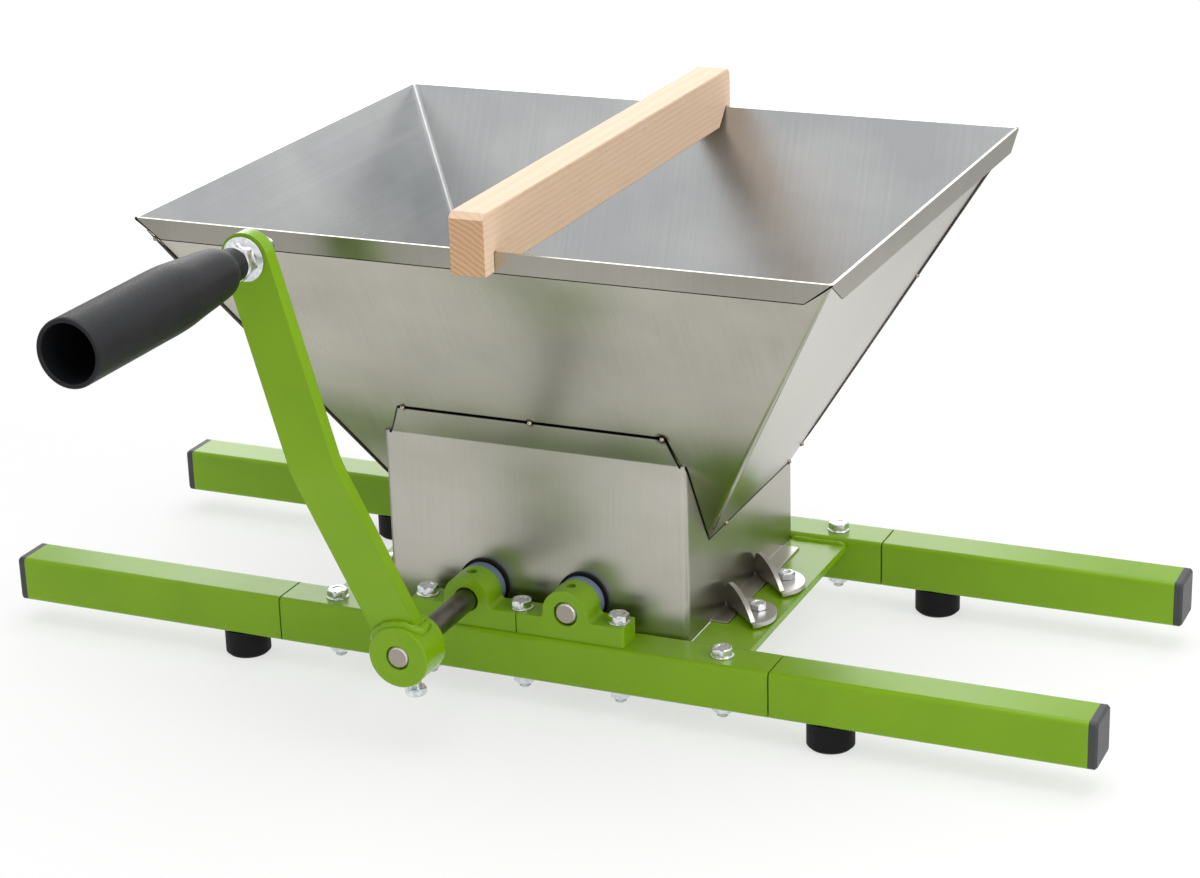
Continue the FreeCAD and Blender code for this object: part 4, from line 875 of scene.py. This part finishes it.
    def build(self) -> None:
        """Dresses the sheets and adds the tacks and the lapped edges, dark as painted gap shadow."""
        tacks = self.tacks()
        joints = {"seams": self.seams(), "tacks": tacks}
        cool = StainlessSheet("rolled_stainless_second_coil", "#BCBDBD", "#ACAEAF", **joints).make()
        chute = StainlessSheet("rolled_stainless_chute", "#C2BFB6", "#B3B0A6", roughness=(0.3, 0.36),
                               smear=0.6, bend_mm=1.2, **joints).make()
        dress(["front_hopper_sheet"], StainlessSheet(**joints).make())
        dress(["rear_hopper_sheet"], cool)
        dress(["front_chute_sheet", "rear_chute_sheet", "left_guide_plate", "right_guide_plate"], chute)
        dress(["left_clips", "right_clips"], self.clips)
        mesh = Mesher()
        for i, tack in enumerate(tacks):
            rings = [(self.tack_mm * math.sin(a), self.tack_mm * math.cos(a), 0.0)
                     for a in (-1.4, -1.0, -0.6, -0.2, 0.2, 0.6, 1.0, 1.4)]
            mesh.turned(rings, Matrix.Translation(tack.spot) @ Matrix.Rotation(0.7 * i, 4, "X"), 20)
        bead = StainlessSheet("tack_weld_metal", "#C9C2B8", "#7C664E", (1.2, 1.2, 1.2), (0.2, 0.3), 0.0)
        mesh.piece("tack_welds", bead.make(), Body.FRAME)
        laps = Mesher()
        for start, end in self.corners():
            laps.bead([Vector(start).lerp(Vector(end), i / 24) for i in range(1, 24)], self.lap_mm / 2, 0.05)
        # The lapped edges are dark: painted gap shadow along the open corners, on the sheet's cut edge.
        edge = StainlessSheet("sheared_edge_and_gap_shade", "#6A645C", "#3A342E", (2.0, 2.0, 2.0), (0.35, 0.5), 0.0)
        laps.piece("sheet_laps_gap_shade", edge.make(), Body.FRAME)


@dataclass
class Crank:
    """The crank: hub on the shaft, leaning bar, set bolt below and the grip's bolt on top."""

    paint: Material
    steel: Material
    fasteners: Fasteners
    hub_radius: float = 16.0
    arm_width: float = 25.0
    arm_thick: float = 8.0
    weld_radius: float = 3.0
    root_slope: float = 29.5 / 106.5
    set_size: Hexagon = Hexagon(flats=10.0, head=4.0, thread=3.0, pitch=1.0)
    grip_size: Hexagon = Hexagon(flats=16.0, head=6.5, thread=5.0, pitch=1.5, nut=8.0)

    def upright(self) -> Matrix:
        """Carries points from the crank's own upright frame, its shaft at the origin, into the machine.

        Returns:
            The transform.
        """
        hub, nut = centre("crank_hub"), centre("handle_nut")
        lean = math.atan2(nut.x - hub.x, nut.z - hub.z)
        return Matrix.Translation((hub.x, 0.0, hub.z)) @ Matrix.Rotation(lean, 4, "Y")

    def build(self) -> None:
        """Dresses the crank and builds its weld, bolts and nuts."""
        dress(["crank_arm", "crank_hub"], self.paint)
        dress(["drive_shaft"], self.steel)
        self.root_weld()
        self.set_bolt()
        self.grip_bolt()

    def root_weld(self) -> None:
        """Adds the thick painted fillet round the bar's foot on the hub."""
        place = self.upright()
        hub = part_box("crank_hub")
        root_y = (hub[0].y + hub[1].y) / 2 + 2.0 * MM
        half, path = self.arm_width / 2, []
        for sign in (-1, 1):
            for i in range(10 * sign, -11 * sign, -sign):
                x = half * i / 10
                z = math.sqrt(max(self.hub_radius ** 2 - x * x, 1.0))
                y = root_y - (z * self.root_slope - sign * (self.arm_thick / 2 + 0.2)) * MM
                y = max(min(y, hub[1].y - 0.5 * MM), hub[0].y + 1.0 * MM)
                path.append(place @ Vector((x * MM, y, z * MM)))
        mesh = Mesher()
        mesh.bead(path, self.weld_radius, 0.35, 3.0, closed=True)
        mesh.piece("crank_root_weld", self.paint, Body.DRIVE, 80)

    def set_bolt(self) -> None:
        """Replaces the hexagon bolt below the hub."""
        low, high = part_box("crank_set_bolt")
        middle, size, mesh = (low + high) / 2, self.set_size, Mesher()
        down = Matrix.Rotation(math.pi, 4, "X")
        seat = Matrix.Translation((middle.x, middle.y, low.z + size.head * MM)) @ down
        self.fasteners.head(mesh, seat @ Matrix.Rotation(0.3, 4, "Z"), size)
        top = Matrix.Translation((middle.x, middle.y, high.z)) @ down
        self.fasteners.stud(mesh, top, size, 0.0, (high.z - low.z) / MM - size.head + 0.2)
        self.fasteners.replace(mesh, "crank_set_bolt", Body.DRIVE)

    def grip_bolt(self) -> None:
        """Replaces the grip's bolt, its flange nut and its back nut."""
        bolt, nut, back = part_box("handle_bolt"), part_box("handle_nut"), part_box("handle_back_nut")
        axis, size = centre("handle_nut"), self.grip_size

        def out(y: float) -> Matrix:
            """A place on the grip's axis, with Z pointing to the front."""
            return Matrix.Translation((axis.x, y, axis.z)) @ Matrix.Rotation(math.pi / 2, 4, "X")

        mesh = Mesher()
        self.fasteners.head(mesh, out(bolt[0].y + size.head * MM), size)
        length = (bolt[1].y - bolt[0].y) / MM
        self.fasteners.stud(mesh, out(bolt[1].y), size, 0.0, length - size.head + 0.1)
        self.fasteners.replace(mesh, "handle_bolt", Body.DRIVE)
        mesh = Mesher()
        corner, flats = size.corner(), size.flats
        mesh.turned([(0.5, 5.0, 0), (0, 5.6, 0), (0, 10.7, 0), (0.3, 11.0, 0), (1.3, 11.0, 0),
                     (1.8, 10.5, 0), (2.9, 8.7, 0), (3.0, corner, flats), (7.7, corner, flats),
                     (8.4, corner * 0.95, flats), (9.0, 7.5, 0), (9.0, 5.6, 0), (8.4, 5.0, 0)],
                    out(nut[1].y) @ Matrix.Rotation(0.25, 4, "Z"), closed=False)
        self.fasteners.replace(mesh, "handle_nut", Body.DRIVE)
        mesh = Mesher()
        self.fasteners.nut(mesh, out(back[1].y) @ Matrix.Rotation(0.1, 4, "Z"), size)
        self.fasteners.replace(mesh, "handle_back_nut", Body.DRIVE)


@dataclass
class Grip:
    """The turning grip: a moulded sleeve, necked at the arm and open at its far end."""

    plastic: Material
    outside: tuple[tuple[float, float], ...] = (
        (0, 8.2), (4, 8.3), (9, 8.5), (12, 10.4), (15, 12.0), (24, 13.2),
        (39, 14.4), (57, 15.9), (80, 16.0), (110, 16.0), (136, 16.0))
    bore: float = 13.6
    web: float = 30.0
    hole: float = 5.15

    def build(self) -> None:
        """Replaces the grip with a smoothly curved one."""
        low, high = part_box("handle_grip")
        top = (high.y - low.y) / MM
        axis = (low + high) / 2
        place = Matrix.Translation((axis.x, high.y, axis.z)) @ Matrix.Rotation(math.pi / 2, 4, "X")
        rings = [(0.4, self.hole, 0.0), (0.0, self.hole + 0.4, 0.0), (0.0, 7.6, 0.0),
                             (0.25, 8.0, 0.0)]
        rings += [(z, r, 0.0) for z, r in self.smooth() if z > 0.5]
        rings += [(top - 1.2, 16.0, 0.0), (top - 0.5, 15.8, 0.0), (top - 0.1, 15.35, 0.0), (top, 14.9, 0.0),
                  (top - 0.1, 14.3, 0.0), (top - 0.6, self.bore + 0.1, 0.0), (top - 1.5, self.bore, 0.0),
                  (57.0, self.bore, 0.0), (self.web + 2.0, self.bore - 2.4, 0.0),
                  (self.web, self.bore - 4.0, 0.0), (self.web, self.hole, 0.0), (0.4, self.hole, 0.0)]
        mesh = Mesher()
        mesh.turned(rings, place, 72, closed=False)
        mesh.piece("handle_grip_detailed", self.plastic, Body.GRIP, 45, ["handle_grip"])

    def smooth(self, steps: int = 6) -> list[tuple[float, float]]:
        """A smooth run through the stations of the outside.

        Args:
            steps: Points between two stations.

        Returns:
            Heights and radii in millimetres.
        """
        stations, run = self.outside, []
        for i in range(len(stations) - 1):
            a, b = stations[max(i - 1, 0)], stations[i]
            c, d = stations[i + 1], stations[min(i + 2, len(stations) - 1)]
            slope_b = (c[1] - a[1]) / (c[0] - a[0]) if c[0] != a[0] else 0.0
            slope_c = (d[1] - b[1]) / (d[0] - b[0]) if d[0] != b[0] else 0.0
            span = c[0] - b[0]
            for k in range(steps):
                t = k / steps
                radius = ((2 * t ** 3 - 3 * t ** 2 + 1) * b[1] + (t ** 3 - 2 * t ** 2 + t) * span * slope_b
                          + (-2 * t ** 3 + 3 * t ** 2) * c[1] + (t ** 3 - t ** 2) * span * slope_c)
                run.append((b[0] + span * t, radius))
        run.append(stations[-1])
        return run


@dataclass
class Mill:
    """The rollers, their shafts and the gears that turn them together."""

    steel: Material
    gear: Material
    sheet: Material

    def build(self) -> None:
        """Dresses the rollers and gears."""
        dress(["idler_shaft"], self.steel)
        dress(["drive_gear", "idler_gear"], self.gear)
        for side in ("drive", "idler"):
            dress([side + "_roller_core", side + "_roller_blades"], self.sheet)


@dataclass
class Bar:
    """The wooden bar across the funnel's rim."""

    wood: Material

    def build(self) -> None:
        """Dresses the bar."""
        dress(["wooden_bar"], self.wood)


@dataclass
class Studio:
    """A pale floor, soft lamps and the camera that took the view."""

    frame_width: int = 1200
    focal_pixels: float = 2855.5
    camera_mm: tuple[float, float, float] = (592.5, -1304.5, 638.4)
    yaw: float = 24.21
    pitch: float = 20.2
    roll: float = -1.77
    sensor_mm: float = 36.0
    fill: float = 0.5
    pool_m: tuple[float, float] = (0.45, 1.1)
    pool_edge: float = 0.3
    floor_colour: str = "#FFFFFF"
    floor_m: float = 20.0
    floor_glow: float = 0.65
    white: tuple[float, ...] = (1.0, 1.0, 1.0, 1.0)
    aim: Place = (0.0, 0.0, 0.12)
    lamps: tuple[tuple[str, Place, float, float], ...] = (
        ("softbox_above", (0.3, 0.2, 2.4), 2.2, 34.0), ("softbox_right", (2.2, -0.6, 1.3), 1.4, 15.0),
        ("softbox_behind", (-1.25, 2.7, 0.95), 1.5, 16.0))

    def camera(self) -> None:
        """Sets the camera where the perspective of the frame and the rim puts it."""
        rails = (centre("front_rail") + centre("rear_rail")) / 2
        yaw, pitch, roll = (math.radians(a) for a in (self.yaw, self.pitch, self.roll))
        ahead = Vector((-math.sin(yaw) * math.cos(pitch), math.cos(yaw) * math.cos(pitch), -math.sin(pitch)))
        right = Vector((math.cos(yaw), math.sin(yaw), 0.0))
        up = right.cross(ahead)
        tilted_right = right * math.cos(roll) + up * math.sin(roll)
        tilted_up = up * math.cos(roll) - right * math.sin(roll)
        data = bpy.data.cameras.new("camera")
        data.sensor_width = self.sensor_mm
        data.lens = self.focal_pixels * self.sensor_mm / self.frame_width
        data.clip_start, data.clip_end = 0.05, 60.0
        made = bpy.data.objects.new("camera", data)
        turn = Matrix((tilted_right, tilted_up, -ahead)).transposed().to_4x4()
        place = Vector(self.camera_mm) * MM + Vector((rails.x, rails.y, 0.0))
        made.matrix_world = Matrix.Translation(place) @ turn
        bpy.context.scene.collection.objects.link(made)
        bpy.context.scene.camera = made

    def lamp(self, name: str, place: Place, size: float, watts: float) -> None:
        """Adds a square softbox aimed at the machine's middle, which the camera doesn't see.

        Args:
            name: The lamp's name.
            place: Its place in metres.
            size: Its side in metres.
            watts: Its power.
        """
        data = bpy.data.lights.new(name, "AREA")
        data.size = size
        data.energy = watts
        made = bpy.data.objects.new(name, data)
        made.visible_camera = False
        made.location = place
        made.rotation_mode = "QUATERNION"
        made.rotation_quaternion = (Vector(self.aim) - Vector(place)).to_track_quat("-Z", "Y")
        bpy.context.scene.collection.objects.link(made)

    def floor(self) -> None:
        """Adds the pale floor: it keeps the soft shadow, and metal sees it dim away from the machine."""
        mesh = bpy.data.meshes.new("floor")
        side = self.floor_m
        outline = [(-side, -side, 0), (side, -side, 0), (side, side, 0), (-side, side, 0)]
        mesh.from_pydata(outline, [], [(0, 1, 2, 3)])
        made = bpy.data.objects.new("floor", mesh)
        material, graph = new_material("studio_floor")
        graph.shade(Base_Color=linear(self.floor_colour), Roughness=0.9)
        place = graph.wire("TexCoord", output="Object")
        away = graph.wire("VectorMath", {0: place}, "Value", operation="LENGTH")
        near, far = self.pool_m
        pool = graph.wire("MapRange", {"Value": away, "From Min": near, "From Max": far, "To Min": 1.0,
                                       "To Max": self.pool_edge})
        straight = graph.wire("LightPath", output="Is Camera Ray")
        strength = graph.wire("Math", {0: straight, 1: pool}, operation="MAXIMUM")
        glow = graph.wire("Emission", {"Color": self.white, "Strength": strength})
        share = graph.wire("Math", {0: self.in_view(graph), 1: self.floor_glow}, operation="MULTIPLY")
        mixed = graph.wire("MixShader", {0: share, 1: graph.shader.outputs["BSDF"], 2: glow})
        output = next(n for n in graph.tree.nodes if n.type == "OUTPUT_MATERIAL")
        graph.feed(output, {"Surface": mixed})
        mesh.materials.append(material)
        bpy.context.scene.collection.objects.link(made)

    def in_view(self, graph: Graph) -> Socket:
        """One where the camera sees a surface, straight or in a mirror or glass.

        Args:
            graph: The material's or the world's nodes.

        Returns:
            One or nought.
        """
        path = graph.node("LightPath")
        seen = path.outputs["Is Camera Ray"]
        for other in ("Is Glossy Ray", "Is Transmission Ray"):
            seen = graph.wire("Math", {0: seen, 1: path.outputs[other]}, operation="MAXIMUM")
        return seen

    def world(self) -> None:
        """Lights the room evenly, and shows white behind and in the metal."""
        world = bpy.data.worlds.new("studio")
        world.use_nodes = True
        graph = Graph(world.node_tree)
        graph.tree.nodes.clear()
        strength = graph.wire("MapRange", {"Value": self.in_view(graph), "To Min": self.fill})
        light = graph.wire("Background", {"Color": self.white, "Strength": strength})
        graph.node("OutputWorld", {"Surface": light})
        bpy.context.scene.world = world

    def build(self) -> None:
        """Sets up the whole studio."""
        bpy.context.scene.view_settings.view_transform = "Standard"
        self.camera()
        self.floor()
        self.world()
        for lamp in self.lamps:
            self.lamp(*lamp)


def main() -> None:
    """Builds the machine's looks in order."""
    logging.basicConfig(level=logging.INFO, format="%(name)s: %(message)s")
    paint = PowderCoat().make()
    zinc = ZincPlate().make()
    steel = BareSteel().make()
    rubber = Moulding("black_rubber", "#0D0E0F", "#090A0B", 0.8, 0.03, (0.55, 0.7), gloss=0.2).make()
    cap = Moulding("black_cap_polyethylene", "#3A3B3E", "#323335", 0.6, 0.02, (0.4, 0.55), 0.8).make()
    grip = Moulding("charcoal_grip_plastic", "#1C1D20", "#16171A", 1.2, 0.05, (0.4, 0.52), gloss=0.28).make()
    bush = Moulding("blue_grey_bush_plastic", "#7E90A4", "#6C7F95", 0.8, 0.01, (0.3, 0.4)).make()
    plain_sheet = StainlessSheet("stainless_clip_sheet", "#CFCDC8", "#BDBBB6", (3.0, 3.0, 3.0), (0.28, 0.34),
                                 0.0).make()
    gear_steel = BareSteel("cut_gear_steel", side="#8B8884", chamfer="#9C978F").make()
    fasteners = Fasteners(zinc)
    steps = [
        ("tube frame", TubeFrame(paint, cap, rubber).build),
        ("fasteners", fasteners.build),
        ("bearings", Bearings(paint, bush, rubber).build),
        ("hopper", Hopper(plain_sheet).build),
        ("crank", Crank(paint, steel, fasteners).build),
        ("grip", Grip(grip).build),
        ("mill", Mill(steel, gear_steel, plain_sheet).build),
        ("wooden bar", Bar(Beech().make()).build),
        ("studio", Studio().build),
    ]
    for name, build in steps:
        build()
        LOG.info("finished the %s", name)


if __name__ == "__main__":
    main()
